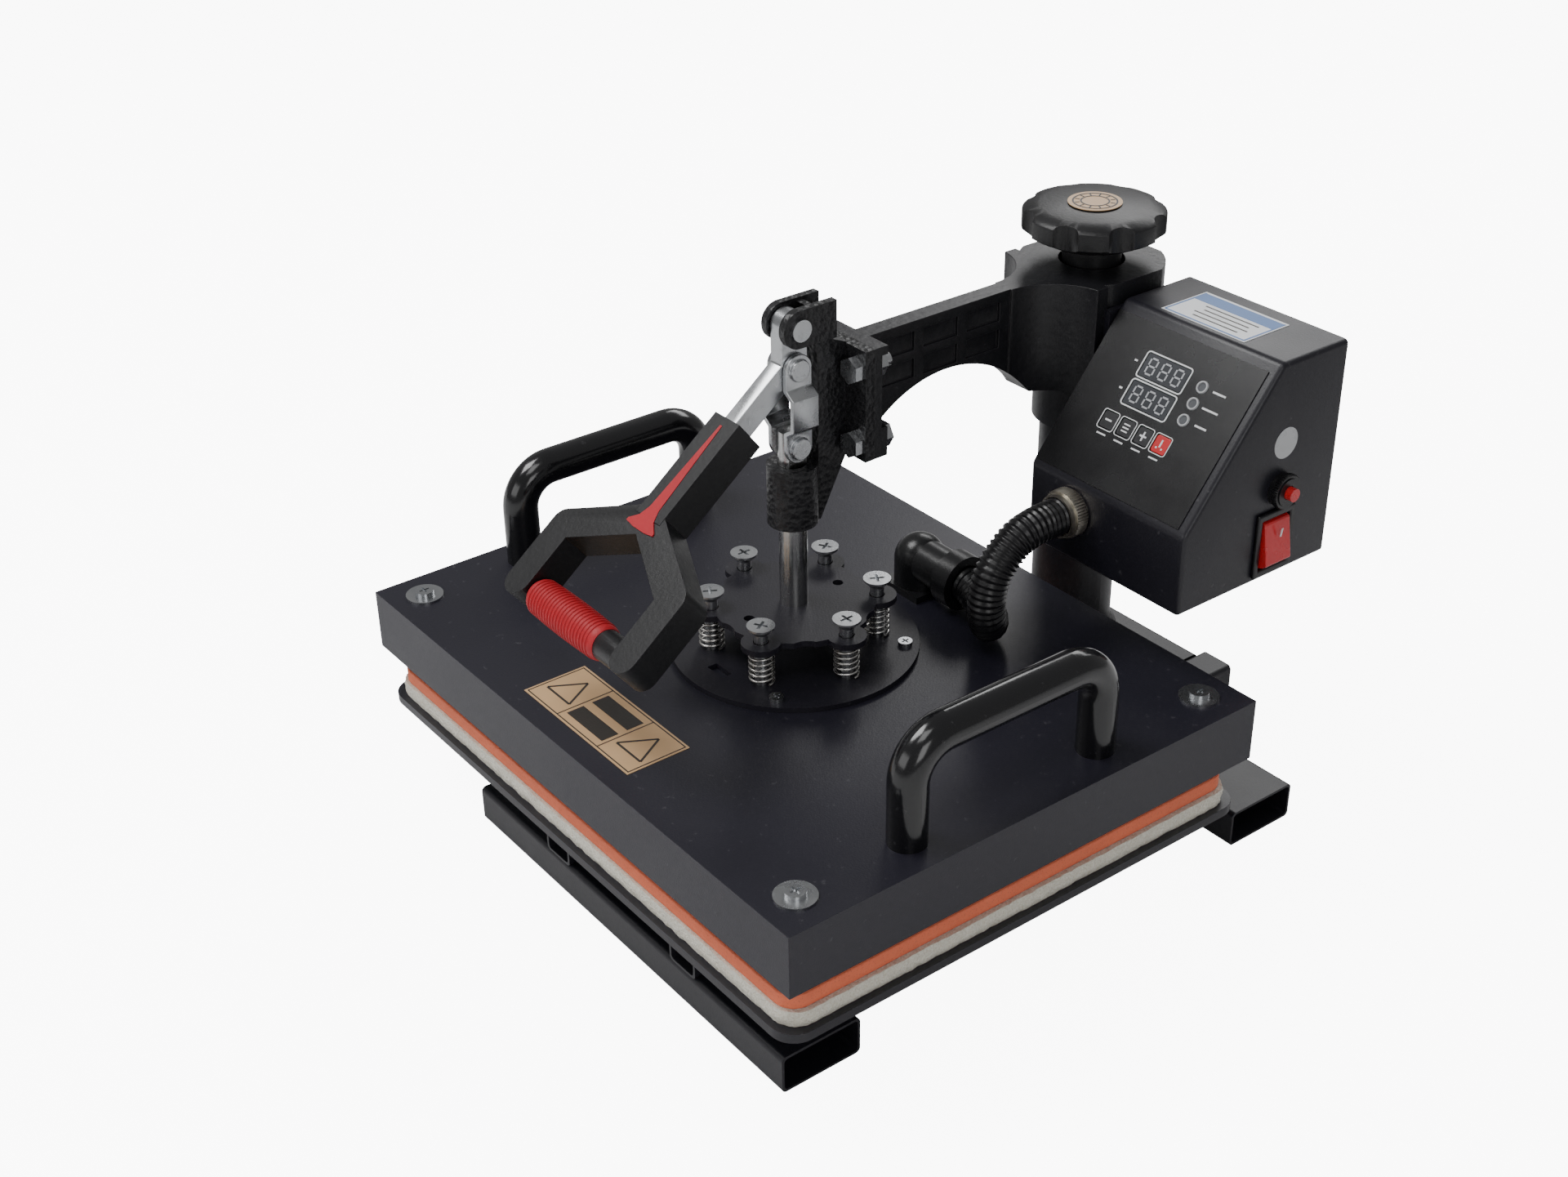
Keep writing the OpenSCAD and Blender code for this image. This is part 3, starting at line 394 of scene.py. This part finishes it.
rounded("control_box", 0.0004, box_paint, "arm", 1, round_first=(0.0028, outer_box_edge))
rounded("arm_casting", 0.0012, arm_paint, "arm")
rounded("clamp_body", 0.0014, clamp_paint, "arm")
rounded("lower_tray", 0.0026, tray_paint, "base", 4)
rounded("silicone_pad", 0.0010, silicone, "base")
rounded("heating_plate", 0.0008, cast_aluminium, "platen")
rounded("toggle_lever", 0.0010, zinc, "lever")
rounded("link_plates", 0.0005, zinc, "link")
rounded("switch_bezel", 0.0012, black_plastic, "arm", 3)
rounded("power_rocker", 0.0008, red_plastic, "rocker")
rounded("pressure_knob", 0.0020, knob_plastic, "knob", 3)
rounded("yoke_handle", 0.0035, yoke_plastic, "lever", 3)
rounded("panel_overlay", 0.0002, panel_film, "arm", 1)
for key in ("minus", "mode", "plus"):
    rounded("key_" + key, 0.0004, key_plastic, key + "_key")
rounded("key_start", 0.0004, red_plastic, "start_key")

# %% [markdown]
# New pieces come from bmesh operators. `piece` turns a finished bmesh into an object at the origin
# and puts it on its body. `spun` turns a profile of radius and height round an axis.

# %% Helpers for new pieces
def piece(name, work, finish, slot, body, angle=32):
    mesh = bpy.data.meshes.new(name)
    work.to_mesh(mesh)
    work.free()
    smooth_faces(mesh, angle)
    mesh.materials.append(finish)
    made = bpy.data.objects.new(name, mesh)
    bpy.context.scene.collection.objects.link(made)
    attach(made, body)
    print(made.name, "has", len(mesh.polygons), "faces")
    return made


def spun(work, profile, place, steps=48):
    """A closed turning of (radius, height) points round +Z, then moved by the matrix place."""
    points = [work.verts.new((radius, 0, height)) for radius, height in profile]
    edges = [work.edges.new(pair) for pair in zip(points, points[1:])]
    made = bmesh.ops.spin(work, geom=points + edges, cent=(0, 0, 0), axis=(0, 0, 1),
                          angle=math.tau, steps=steps, use_merge=True)
    fresh = [v for v in work.verts if v.tag is False]
    bmesh.ops.remove_doubles(work, verts=fresh, dist=0.000002)
    fresh = [v for v in work.verts if v.tag is False]
    bmesh.ops.transform(work, matrix=place, verts=fresh)
    for v in fresh:
        v.tag = True
    return made


def slab(work, place, size):
    """A box of that size, centred on place."""
    made = bmesh.ops.create_cube(work, size=1.0, matrix=place @ Matrix.Diagonal((*size, 1)))
    for v in made["verts"]:
        v.tag = True
    return made["verts"]


def at(x, y, z):
    return Matrix.Translation((x, y, z))


# %% [markdown]
# Six coil springs hold the platen down. Each is a round wire on a helix: a spin with a rise in it.
# They lie between the hub plate and the spider plate.

# %% Coil springs
low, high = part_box("springs")
wire, coil_radius, turns = 0.0008, 0.0066, 6
coils = bmesh.new()
for k in range(6):
    angle = k * math.tau / 6
    spot = press + Vector((0.0465 * math.cos(angle), 0.0465 * math.sin(angle), low.z + wire))
    ring = bmesh.ops.create_circle(coils, cap_ends=False, segments=8, radius=wire,
                                   matrix=at(*spot) @ at(coil_radius, 0, 0) @ Matrix.Rotation(math.pi / 2, 4, "X"))
    edges = list({edge for v in ring["verts"] for edge in v.link_edges})
    rise = (high.z - low.z - 2 * wire) / (turns * 24)
    bmesh.ops.spin(coils, geom=edges, cent=spot, axis=(0, 0, 1), angle=turns * math.tau,
                   steps=turns * 24, dvec=(0, 0, rise))
bmesh.ops.holes_fill(coils, edges=[edge for edge in coils.edges if edge.is_boundary])
bmesh.ops.recalc_face_normals(coils, faces=coils.faces)
springs = piece("coil_springs", coils, spring_wire, "spring_steel", "plunger", 60)
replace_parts(springs, "springs")
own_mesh(springs)

# %% [markdown]
# The wires run from the control box to the platen in a corrugated plastic conduit. Its ribs show, so it is a tube
# whose radius steps in and out along a smooth line.

# %% Corrugated hose
stops = [(31, 97, 143), (35, 97, 143), (40, 96.8, 142.4), (46, 95.5, 140.5), (55, 93, 138.5),
         (64, 88, 137.5), (70, 82, 140),
         (74, 77, 147), (75, 75, 156), (75, 76, 166), (75, 80, 176), (75, 87, 184), (75.4, 96, 191),
         (76, 107, 194.4), (76, 118, 195), (76, 129, 195)]
stops = [press + Vector(stop) / 1000 for stop in stops]


def smooth_line(points, step):
    """Evenly spaced points on a smooth line through the given ones."""
    fine = []
    padded = [2 * points[0] - points[1]] + points + [2 * points[-1] - points[-2]]
    for a, b, c, d in zip(padded, padded[1:], padded[2:], padded[3:]):
        for k in range(20):
            t = k / 20
            fine.append(0.5 * (2 * b + (c - a) * t + (2 * a - 5 * b + 4 * c - d) * t * t
                               + (3 * b - a - 3 * c + d) * t ** 3))
    fine.append(points[-1])
    line, travelled = [fine[0]], 0.0
    for p, q in zip(fine, fine[1:]):
        travelled += (q - p).length
        if travelled >= step:
            line.append(q)
            travelled -= step
    return line


hose_line = smooth_line(stops, 0.0008)
hose_curve = bpy.data.curves.new("hose_line", "CURVE")
hose_curve.dimensions = "3D"
hose_curve.bevel_depth = 0.0108
hose_curve.bevel_resolution = 6
hose_curve.use_fill_caps = True
spline = hose_curve.splines.new("POLY")
spline.points.add(len(hose_line) - 1)
for k, (point, place) in enumerate(zip(spline.points, hose_line)):
    point.co = (*place, 1)
    point.radius = (1.0, 1.0, 0.9, 0.9)[k % 4]
rough_hose = bpy.data.objects.new("hose_line", hose_curve)
bpy.context.scene.collection.objects.link(rough_hose)
bpy.context.view_layer.update()
hose_bm = bmesh.new()
hose_bm.from_mesh(rough_hose.to_mesh())
bpy.data.objects.remove(rough_hose)
bmesh.ops.remove_doubles(hose_bm, verts=hose_bm.verts, dist=0.00001)
bmesh.ops.recalc_face_normals(hose_bm, faces=hose_bm.faces)
conduit_mesh = bpy.data.meshes.new("conduit")
hose_bm.to_mesh(conduit_mesh)
hose_bm.free()
smooth_faces(conduit_mesh, 70)
conduit_mesh.materials.append(conduit_plastic)
conduit = bpy.data.objects.new("conduit", conduit_mesh)
bpy.context.scene.collection.objects.link(conduit)
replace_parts(conduit, "hose")
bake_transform(conduit)
print("hose length:", sum((b - a).length for a, b in zip(hose_line, hose_line[1:])))

# %% [markdown]
# The lever is gripped by a red rubber sleeve with ribs round it. It is one turning: a profile of
# small steps, spun round the cross bar. A red inlay runs down the handle and ends in a Y.

# %% Grip sleeve and inlay
slope = math.radians(38)
pivot = press + Vector((0, -0.001, 0.295))
along_lever = at(*pivot) @ Matrix.Rotation(math.pi + slope, 4, "X")
low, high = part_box("grip_sleeve")
half = (high.x - low.x) / 2
profile = [(0.0056, -half), (0.0088, -half), (0.0098, -half + 0.0015)]
ribs = 21
for k in range(ribs):
    height = -half + 0.003 + (2 * half - 0.006) * k / ribs
    step = (2 * half - 0.006) / ribs
    bulge = 0.0006 * math.cos(math.pi * (k + 0.5 - ribs / 2) / ribs)
    profile += [(0.0098 + bulge, height), (0.0104 + bulge, height + 0.0003),
                (0.0104 + bulge, height + step * 0.45), (0.0098 + bulge, height + step * 0.45 + 0.0003)]
profile += [(0.0098, half - 0.0015), (0.0088, half), (0.0056, half), (0.0056, -half)]
sleeve = bmesh.new()
spun(sleeve, profile, at(*middle("grip_sleeve")) @ Matrix.Rotation(math.pi / 2, 4, "Y"))
bmesh.ops.recalc_face_normals(sleeve, faces=sleeve.faces)
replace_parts(piece("grip_ribs", sleeve, red_rubber, "grip_rubber", "lever", 40), "grip_sleeve")

inlay = bmesh.new()
tops = -0.0105
half_outline = [(0.8, 48), (3.0, 88), (3.8, 103), (6.2, 109.5), (11.5, 114), (11.8, 115.6), (5.0, 116.6)]
outline = half_outline + [(-x, y) for x, y in reversed(half_outline)]
corners = [inlay.verts.new((x / 1000, y / 1000, tops - 0.0003)) for x, y in outline]
inlay.faces.new(corners)
raised = bmesh.ops.extrude_face_region(inlay, geom=list(inlay.faces))
bmesh.ops.translate(inlay, vec=(0, 0, 0.0008),
                    verts=[v for v in raised["geom"] if isinstance(v, bmesh.types.BMVert)])
bmesh.ops.recalc_face_normals(inlay, faces=inlay.faces)
bmesh.ops.transform(inlay, matrix=along_lever, verts=inlay.verts)
piece("handle_inlay", inlay, red_inlay, "red_plastic", "lever")

# %% [markdown]
# Printed marks are thin raised pieces, never letters: frames round the two displays, outlines
# round the keys, plus and minus signs, rings round the lamps, and plain bars on the labels.

# %% Marks on the control panel
box_low, box_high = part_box("control_box")
overlay_low, overlay_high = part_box("panel_overlay")
face_angle = math.radians(50.826)
panel = at(box_low.x, box_low.y, box_low.z + 0.048) @ Matrix.Rotation(face_angle, 4, "X")
skin = 0.0008


def outline_frame(work, place, width, height, line, corner, thick=0.00025):
    """A rounded rectangular line of that size, standing thick above the panel."""
    sheet = bmesh.new()
    bmesh.ops.create_grid(sheet, x_segments=1, y_segments=1, size=0.5,
                          matrix=Matrix.Diagonal((width, height, 1, 1)))
    bmesh.ops.bevel(sheet, geom=sheet.verts[:], offset=corner, segments=4, profile=0.5,
                    affect="VERTICES", material=-1)
    inner = sheet.faces[:]
    bmesh.ops.inset_region(sheet, faces=inner, thickness=line, use_even_offset=True,
                           use_boundary=True)
    bmesh.ops.delete(sheet, geom=inner, context="FACES")
    lifted = bmesh.ops.extrude_face_region(sheet, geom=sheet.faces[:])
    bmesh.ops.translate(sheet, vec=(0, 0, thick),
                        verts=[v for v in lifted["geom"] if isinstance(v, bmesh.types.BMVert)])
    bmesh.ops.recalc_face_normals(sheet, faces=sheet.faces)
    bmesh.ops.transform(sheet, matrix=place, verts=sheet.verts)
    mesh = bpy.data.meshes.new("outline")
    sheet.to_mesh(mesh)
    sheet.free()
    work.from_mesh(mesh)
    bpy.data.meshes.remove(mesh)


ink = bmesh.new()
mm = 0.001
for y in (75, 58):
    outline_frame(ink, panel @ at(51 * mm, y * mm, skin), 33.6 * mm, 16.2 * mm, 0.8 * mm, 2.2 * mm)
for k in range(4):
    outline_frame(ink, panel @ at((34 + 13 * k) * mm, 39 * mm, skin), 11.8 * mm, 11.8 * mm, 0.5 * mm, 1.8 * mm)
piece("panel_outlines", ink, white_ink, "white_label", "arm")


def key_mark(name, k, bars, finish, body):
    work = bmesh.new()
    for x, y, w, h in bars:
        slab(work, panel @ at((34 + 13 * k + x) * mm, (39 + y) * mm, skin + 0.0001), (w * mm, h * mm, 0.0003))
    piece(name, work, finish, "white_label", body)


key_mark("minus_mark", 0, [(0, 0, 4.6, 1.0)], white_ink, "minus_key")
key_mark("mode_mark", 1, [(0, 2, 4.4, 0.8), (0, 0, 4.4, 0.8), (0, -2, 4.4, 0.8)], white_ink, "mode_key")
key_mark("plus_mark", 2, [(0, 0, 4.6, 1.0), (0, 1.6, 1.0, 2.2), (0, -1.6, 1.0, 2.2)], white_ink, "plus_key")
key_mark("start_mark", 3, [(0, 0.6, 1.0, 4.4), (-1.9, -2.2, 1.0, 1.0), (1.9, -2.2, 1.0, 1.0)], white_ink, "start_key")

# %% [markdown]
# Each display is a smoked window with three unlit digits. A digit is seven bars, a shade lighter
# than the window.

# %% Unlit digits and lamp rings
digits = bmesh.new()
for y in (75, 58):
    for k in (-1, 0, 1):
        cx = 51 + 9.4 * k
        for dx, dy, w, h in ((0, 4.6, 3.9, 1.0), (0, 0, 3.9, 1.0), (0, -4.6, 3.9, 1.0), (-2.6, 2.3, 1.0, 3.6),
                             (2.6, 2.3, 1.0, 3.6), (-2.6, -2.3, 1.0, 3.6), (2.6, -2.3, 1.0, 3.6)):
            slab(digits, panel @ at((cx + dx) * mm, (y + dy) * mm, skin), (w * mm, h * mm, 0.0002))
piece("unlit_digits", digits, ghost_grey, "display_window", "arm")

rings = bmesh.new()
for y in (56, 66, 76):
    spun(rings, [(2.6 * mm, 0), (2.7 * mm, 0.9 * mm), (3.4 * mm, 0.9 * mm), (3.7 * mm, 0), (2.6 * mm, 0)],
         panel @ at(78 * mm, y * mm, skin), 32)
bmesh.ops.recalc_face_normals(rings, faces=rings.faces)
piece("lamp_rings", rings, silver_film, "lamp_plastic", "arm")

caption_bars = bmesh.new()
for x, y, w in ((90, 76, 9), (90, 66, 11), (90, 56, 8), (30, 75, 2.2), (30, 58, 2.2)):
    slab(caption_bars, panel @ at(x * mm, y * mm, skin), (w * mm, 1.1 * mm, 0.0002))
for x in (34, 47, 60, 73):
    slab(caption_bars, panel @ at(x * mm, 30.6 * mm, skin), (6.5 * mm, 0.9 * mm, 0.0002))
piece("panel_captions", caption_bars, white_ink, "white_label", "arm")

# %% [markdown]
# The labels carry bars and plain shapes where a maker would print words. The rocker has the two
# usual marks for on and off, and a round silver sticker sits above the switch.

# %% Labels and stickers
label_low, label_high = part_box("cover_label")
print_bars = bmesh.new()
top = label_high.z


def bar(x, y, w, h):
    slab(print_bars, at(label_low.x + x * mm, label_low.y + y * mm, top), (w * mm, h * mm, 0.0002))


for x in (1.6, 99.4):
    bar(x, 19.5, 0.7, 35.8)
for y in (1.6, 37.4):
    bar(50.5, y, 98.5, 0.7)
for x in (31, 70):
    bar(x, 19.5, 0.7, 35.8)
for y in (27.5, 11.5):
    bar(50.5, y, 34, 10.5)
for x in (16.3, 84.7):
    for turn_by in range(3):
        centre_of_three = at(label_low.x + x * mm, label_low.y + 18 * mm, top)
        side_of_three = centre_of_three @ Matrix.Rotation(turn_by * math.tau / 3, 4, "Z")
        slab(print_bars, side_of_three @ at(0, -6.4 * mm, 0), (22 * mm, 1.3 * mm, 0.0002))
piece("cover_label_print", print_bars, black_ink, "gold_label", "platen")

white_low, white_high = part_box("top_label")
label_print = bmesh.new()
slab(label_print, at(white_low.x + 0.030, white_low.y + 0.0290, white_high.z), (0.0560, 0.0100, 0.0002))
for x in (1.5, 58.5):
    slab(label_print, at(white_low.x + x * mm, white_low.y + 0.018, white_high.z), (1.2 * mm, 33 * mm, 0.0002))
slab(label_print, at(white_low.x + 0.030, white_low.y + 0.0015, white_high.z), (0.0570, 0.0012, 0.0002))
label_lines = bmesh.new()
for k in range(4):
    slab(label_lines, at(white_low.x + 0.033, white_low.y + (20.5 - 4.6 * k) * mm, white_high.z),
         ((38 - 6 * (k % 2)) * mm, 1.1 * mm, 0.0002))
piece("top_label_lines", label_lines, black_ink, "white_label", "arm")
piece("top_label_print", label_print, blue_ink, "white_label", "arm")

badge = middle("knob_badge")
badge_print = bmesh.new()
for radius, wide in ((12.5, 0.5), (8.0, 0.5)):
    inner, outer = (radius - wide) * mm, (radius + wide) * mm
    spun(badge_print, [(inner, 0), (inner, 0.15 * mm), (outer, 0.15 * mm), (outer, 0), (inner, 0)],
         at(badge.x, badge.y, badge.z + 0.0002), 64)
for k in range(12):
    spoke = at(badge.x, badge.y, badge.z + 0.0002) @ Matrix.Rotation(k * math.tau / 12, 4, "Z")
    slab(badge_print, spoke @ at(10.3 * mm, 0, 0), (2.6 * mm, 0.9 * mm, 0.0003))
bmesh.ops.recalc_face_normals(badge_print, faces=badge_print.faces)
piece("badge_print", badge_print, black_ink, "gold_label", "knob")

side = (at(box_high.x, box_low.y, box_low.z) @ Matrix.Rotation(math.pi / 2, 4, "Z")
        @ Matrix.Rotation(math.pi / 2, 4, "X"))
sticker = bmesh.new()
spun(sticker, [(0.0001, 0), (9.0 * mm, 0), (9.0 * mm, 0.25 * mm), (0.0001, 0.25 * mm)],
     side @ at(74 * mm, 81 * mm, 0), 48)
bmesh.ops.holes_fill(sticker, edges=[e for e in sticker.edges if e.is_boundary])
bmesh.ops.recalc_face_normals(sticker, faces=sticker.faces)
piece("side_sticker", sticker, silver_film, "white_label", "arm")

# %% [markdown]
# The reset breaker is held by a knurled nut, and so is the hose. A knurl is a ring of many small
# teeth, made by pushing every second column of a turning outwards.

# %% Knurled nuts
def knurled_nut(name, place, inner, outer, height, finish, slot, body, teeth=44):
    work = bmesh.new()
    spun(work, [(inner, 0), (inner, height), (outer - 0.0006, height), (outer, height - 0.0008),
                (outer, 0.0008), (outer - 0.0006, 0), (inner, 0)], place, teeth * 2)
    centre = place.translation
    axis = (place.to_3x3() @ Vector((0, 0, 1))).normalized()
    for v in work.verts:
        away = v.co - centre
        away -= axis * away.dot(axis)
        if away.length > outer - 0.0003:
            side_x = place.to_3x3() @ Vector((1, 0, 0))
            side_y = place.to_3x3() @ Vector((0, 1, 0))
            turn_at = math.atan2(away.dot(side_y), away.dot(side_x)) / math.tau * teeth * 2
            if round(turn_at) % 2:
                v.co -= away.normalized() * 0.0007
    bmesh.ops.recalc_face_normals(work, faces=work.faces)
    return piece(name, work, finish, slot, body, 25)


breaker = middle("breaker_button")
knurled_nut("breaker_nut", at(box_high.x + 0.0025, breaker.y, breaker.z) @ Matrix.Rotation(math.pi / 2, 4, "Y"),
            0.0081, 0.0102, 0.0038, black_plastic, "black_plastic", "arm")
fitting = middle("hose_fitting")
knurled_nut("hose_nut", at(fitting.x, box_low.y - 0.0085, fitting.z) @ Matrix.Rotation(-math.pi / 2, 4, "X"),
            0.0126, 0.0142, 0.0075, knurled_metal, "fitting_metal", "arm", 52)
marks = bmesh.new()
face = side @ at(71 * mm, 23 * mm, 0) @ at(0, 0, 0.0051) @ Matrix.Rotation(math.radians(9), 4, "X")
slab(marks, face @ at(0, 7.5 * mm, 0.0002), (1.1 * mm, 5.4 * mm, 0.0004))
spun(marks, [(2.0 * mm, 0), (2.0 * mm, 0.3 * mm), (2.9 * mm, 0.3 * mm), (2.9 * mm, 0), (2.0 * mm, 0)],
     face @ at(0, -7.5 * mm, 0), 32)
bmesh.ops.recalc_face_normals(marks, faces=marks.faces)
piece("rocker_marks", marks, white_ink, "white_label", "rocker")

# %% [markdown]
# The felt pad is a thick mat of wool, so its edge is never clean. Its faces are cut into small squares, and each
# point near the rim is pushed outward a little by noise.

# %% Felt pad
felt_low, felt_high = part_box("felt_pad")
felt = bmesh.new()
size = felt_high - felt_low
felt_size = Matrix.Diagonal((size.x - 0.001, size.y - 0.001, size.z, 1))
bmesh.ops.create_cube(felt, size=1.0, matrix=at(*middle("felt_pad")) @ felt_size)
uprights = [e for e in felt.edges if abs(e.verts[0].co.z - e.verts[1].co.z) > 0.001]
bmesh.ops.bevel(felt, geom=uprights, offset=0.0135, segments=7, profile=0.5, affect="EDGES",
                material=-1)
for axis, low_end, high_end, step in ((0, felt_low.x, felt_high.x, 0.004), (1, felt_low.y, felt_high.y, 0.004)):
    count = int((high_end - low_end) / step)
    normal = Vector((1, 0, 0)) if axis == 0 else Vector((0, 1, 0))
    for k in range(1, count):
        spot = Vector((0, 0, 0))
        spot[axis] = low_end + k * step
        bmesh.ops.bisect_plane(felt, geom=felt.verts[:] + felt.edges[:] + felt.faces[:],
                               plane_co=spot, plane_no=normal)
for height in (0.25, 0.5, 0.75):
    bmesh.ops.bisect_plane(felt, geom=felt.verts[:] + felt.edges[:] + felt.faces[:],
                           plane_co=(0, 0, felt_low.z + size.z * height), plane_no=(0, 0, 1))
centre = middle("felt_pad")
for v in felt.verts:
    outward = Vector((v.co.x - centre.x, v.co.y - centre.y, 0))
    on_rim = (abs(abs(v.co.x - centre.x) - size.x / 2) < 0.008
              or abs(abs(v.co.y - centre.y) - size.y / 2) < 0.008)
    if on_rim:
        bulge = 1 - abs(v.co.z - centre.z) / (size.z / 2) * 0.6
        v.co += outward.normalized() * (0.0012 * bulge * (1 + noise.noise(v.co * 260.0))
                                        + 0.0006 * noise.noise(v.co * 900.0))
bmesh.ops.recalc_face_normals(felt, faces=felt.faces)
felt_piece = piece("felt_mat", felt, felt_wool, "felt", "base", 60)
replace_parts(felt_piece, "felt_pad")

# %% [markdown]
# Feet, rails and beam are welded square tube. The post has a bead of weld at its foot, which is a
# small turning with a ripple in it.

# %% Weld bead
post_low, post_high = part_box("post")
weld = bmesh.new()
spun(weld, [(0.0249, 0), (0.0249, 0.0042), (0.0270, 0.0034), (0.0290, 0.0012), (0.0294, 0), (0.0249, 0)],
     at((post_low.x + post_high.x) / 2, (post_low.y + post_high.y) / 2, post_low.z), 120)
for v in weld.verts:
    if v.co.z > post_low.z + 0.001:
        v.co.z += 0.0004 * noise.noise(v.co * 420.0)
bmesh.ops.recalc_face_normals(weld, faces=weld.faces)
piece("post_weld", weld, post_paint, "black_paint", "base", 60)

# %% [markdown]
# A pale floor and broad soft lights: a big key on the left, a fill on the right, a strip behind
# that draws the edges of black paint, and a white world. The floor and the world are bright only
# for rays that come straight from the camera, because their glow would wash out the black sides.

# %% Floor and lights
ground = bmesh.new()
bmesh.ops.create_circle(ground, cap_ends=True, segments=96, radius=9.0)
floor_mesh = bpy.data.meshes.new("floor")
ground.to_mesh(floor_mesh)
ground.free()
floor = bpy.data.objects.new("floor", floor_mesh)
bpy.context.scene.collection.objects.link(floor)
paper = Finish("floor_paper")
paper_tone = paper.mix(paper.noise(20.0), (0.78, 0.78, 0.79), (0.82, 0.82, 0.82))
seen = paper.add("ShaderNodeLightPath", output="Is Camera Ray")
plain = paper.add("ShaderNodeBsdfPrincipled", None, {"Base Color": paper_tone, "Roughness": 0.85})
glowing = paper.add("ShaderNodeBsdfPrincipled", None,
                    {"Base Color": paper_tone, "Roughness": 0.85, "Emission Color": (1, 1, 1, 1),
                     "Emission Strength": 9.0})
paper.add_output(paper.add("ShaderNodeMixShader", None, {0: seen, 1: plain, 2: glowing}))
floor_finish = paper.material
floor_mesh.materials.append(floor_finish)


def soft_light(name, place, aim, size, power):
    light = bpy.data.lights.new(name, "AREA")
    light.shape = "RECTANGLE"
    light.size, light.size_y = size
    light.energy = power
    lamp = bpy.data.objects.new(name, light)
    lamp.location = place
    lamp.rotation_euler = (Vector(aim) - Vector(place)).to_track_quat("-Z", "Y").to_euler()
    bpy.context.scene.collection.objects.link(lamp)


soft_light("key", (-1.0, -0.9, 2.3), (0, 0, 0.15), (1.1, 1.1), 36)
soft_light("fill", (2.0, -0.9, 1.1), (0, 0, 0.15), (0.8, 1.2), 8)
soft_light("front", (-0.2, -2.2, 0.9), (0, 0, 0.15), (1.6, 0.8), 7)
soft_light("rim", (-0.7, 1.6, 1.3), (0, 0, 0.2), (1.6, 0.5), 12)
soft_light("top", (0.5, -0.9, 2.4), (0, 0, 0), (1.0, 1.0), 10)
world = bpy.data.worlds.new("studio")
world.use_nodes = True
sky = world.node_tree
lit = sky.nodes["Background"]
lit.inputs["Color"].default_value = (1, 1, 1, 1)
lit.inputs["Strength"].default_value = 0.26
backdrop = sky.nodes.new("ShaderNodeBackground")
backdrop.inputs["Color"].default_value = (1, 1, 1, 1)
backdrop.inputs["Strength"].default_value = 9.0
sight = sky.nodes.new("ShaderNodeLightPath")
either = sky.nodes.new("ShaderNodeMixShader")
sky.links.new(sight.outputs["Is Camera Ray"], either.inputs[0])
sky.links.new(lit.outputs[0], either.inputs[1])
sky.links.new(backdrop.outputs[0], either.inputs[2])
sky.links.new(either.outputs[0], sky.nodes["World Output"].inputs["Surface"])
bpy.context.scene.world = world
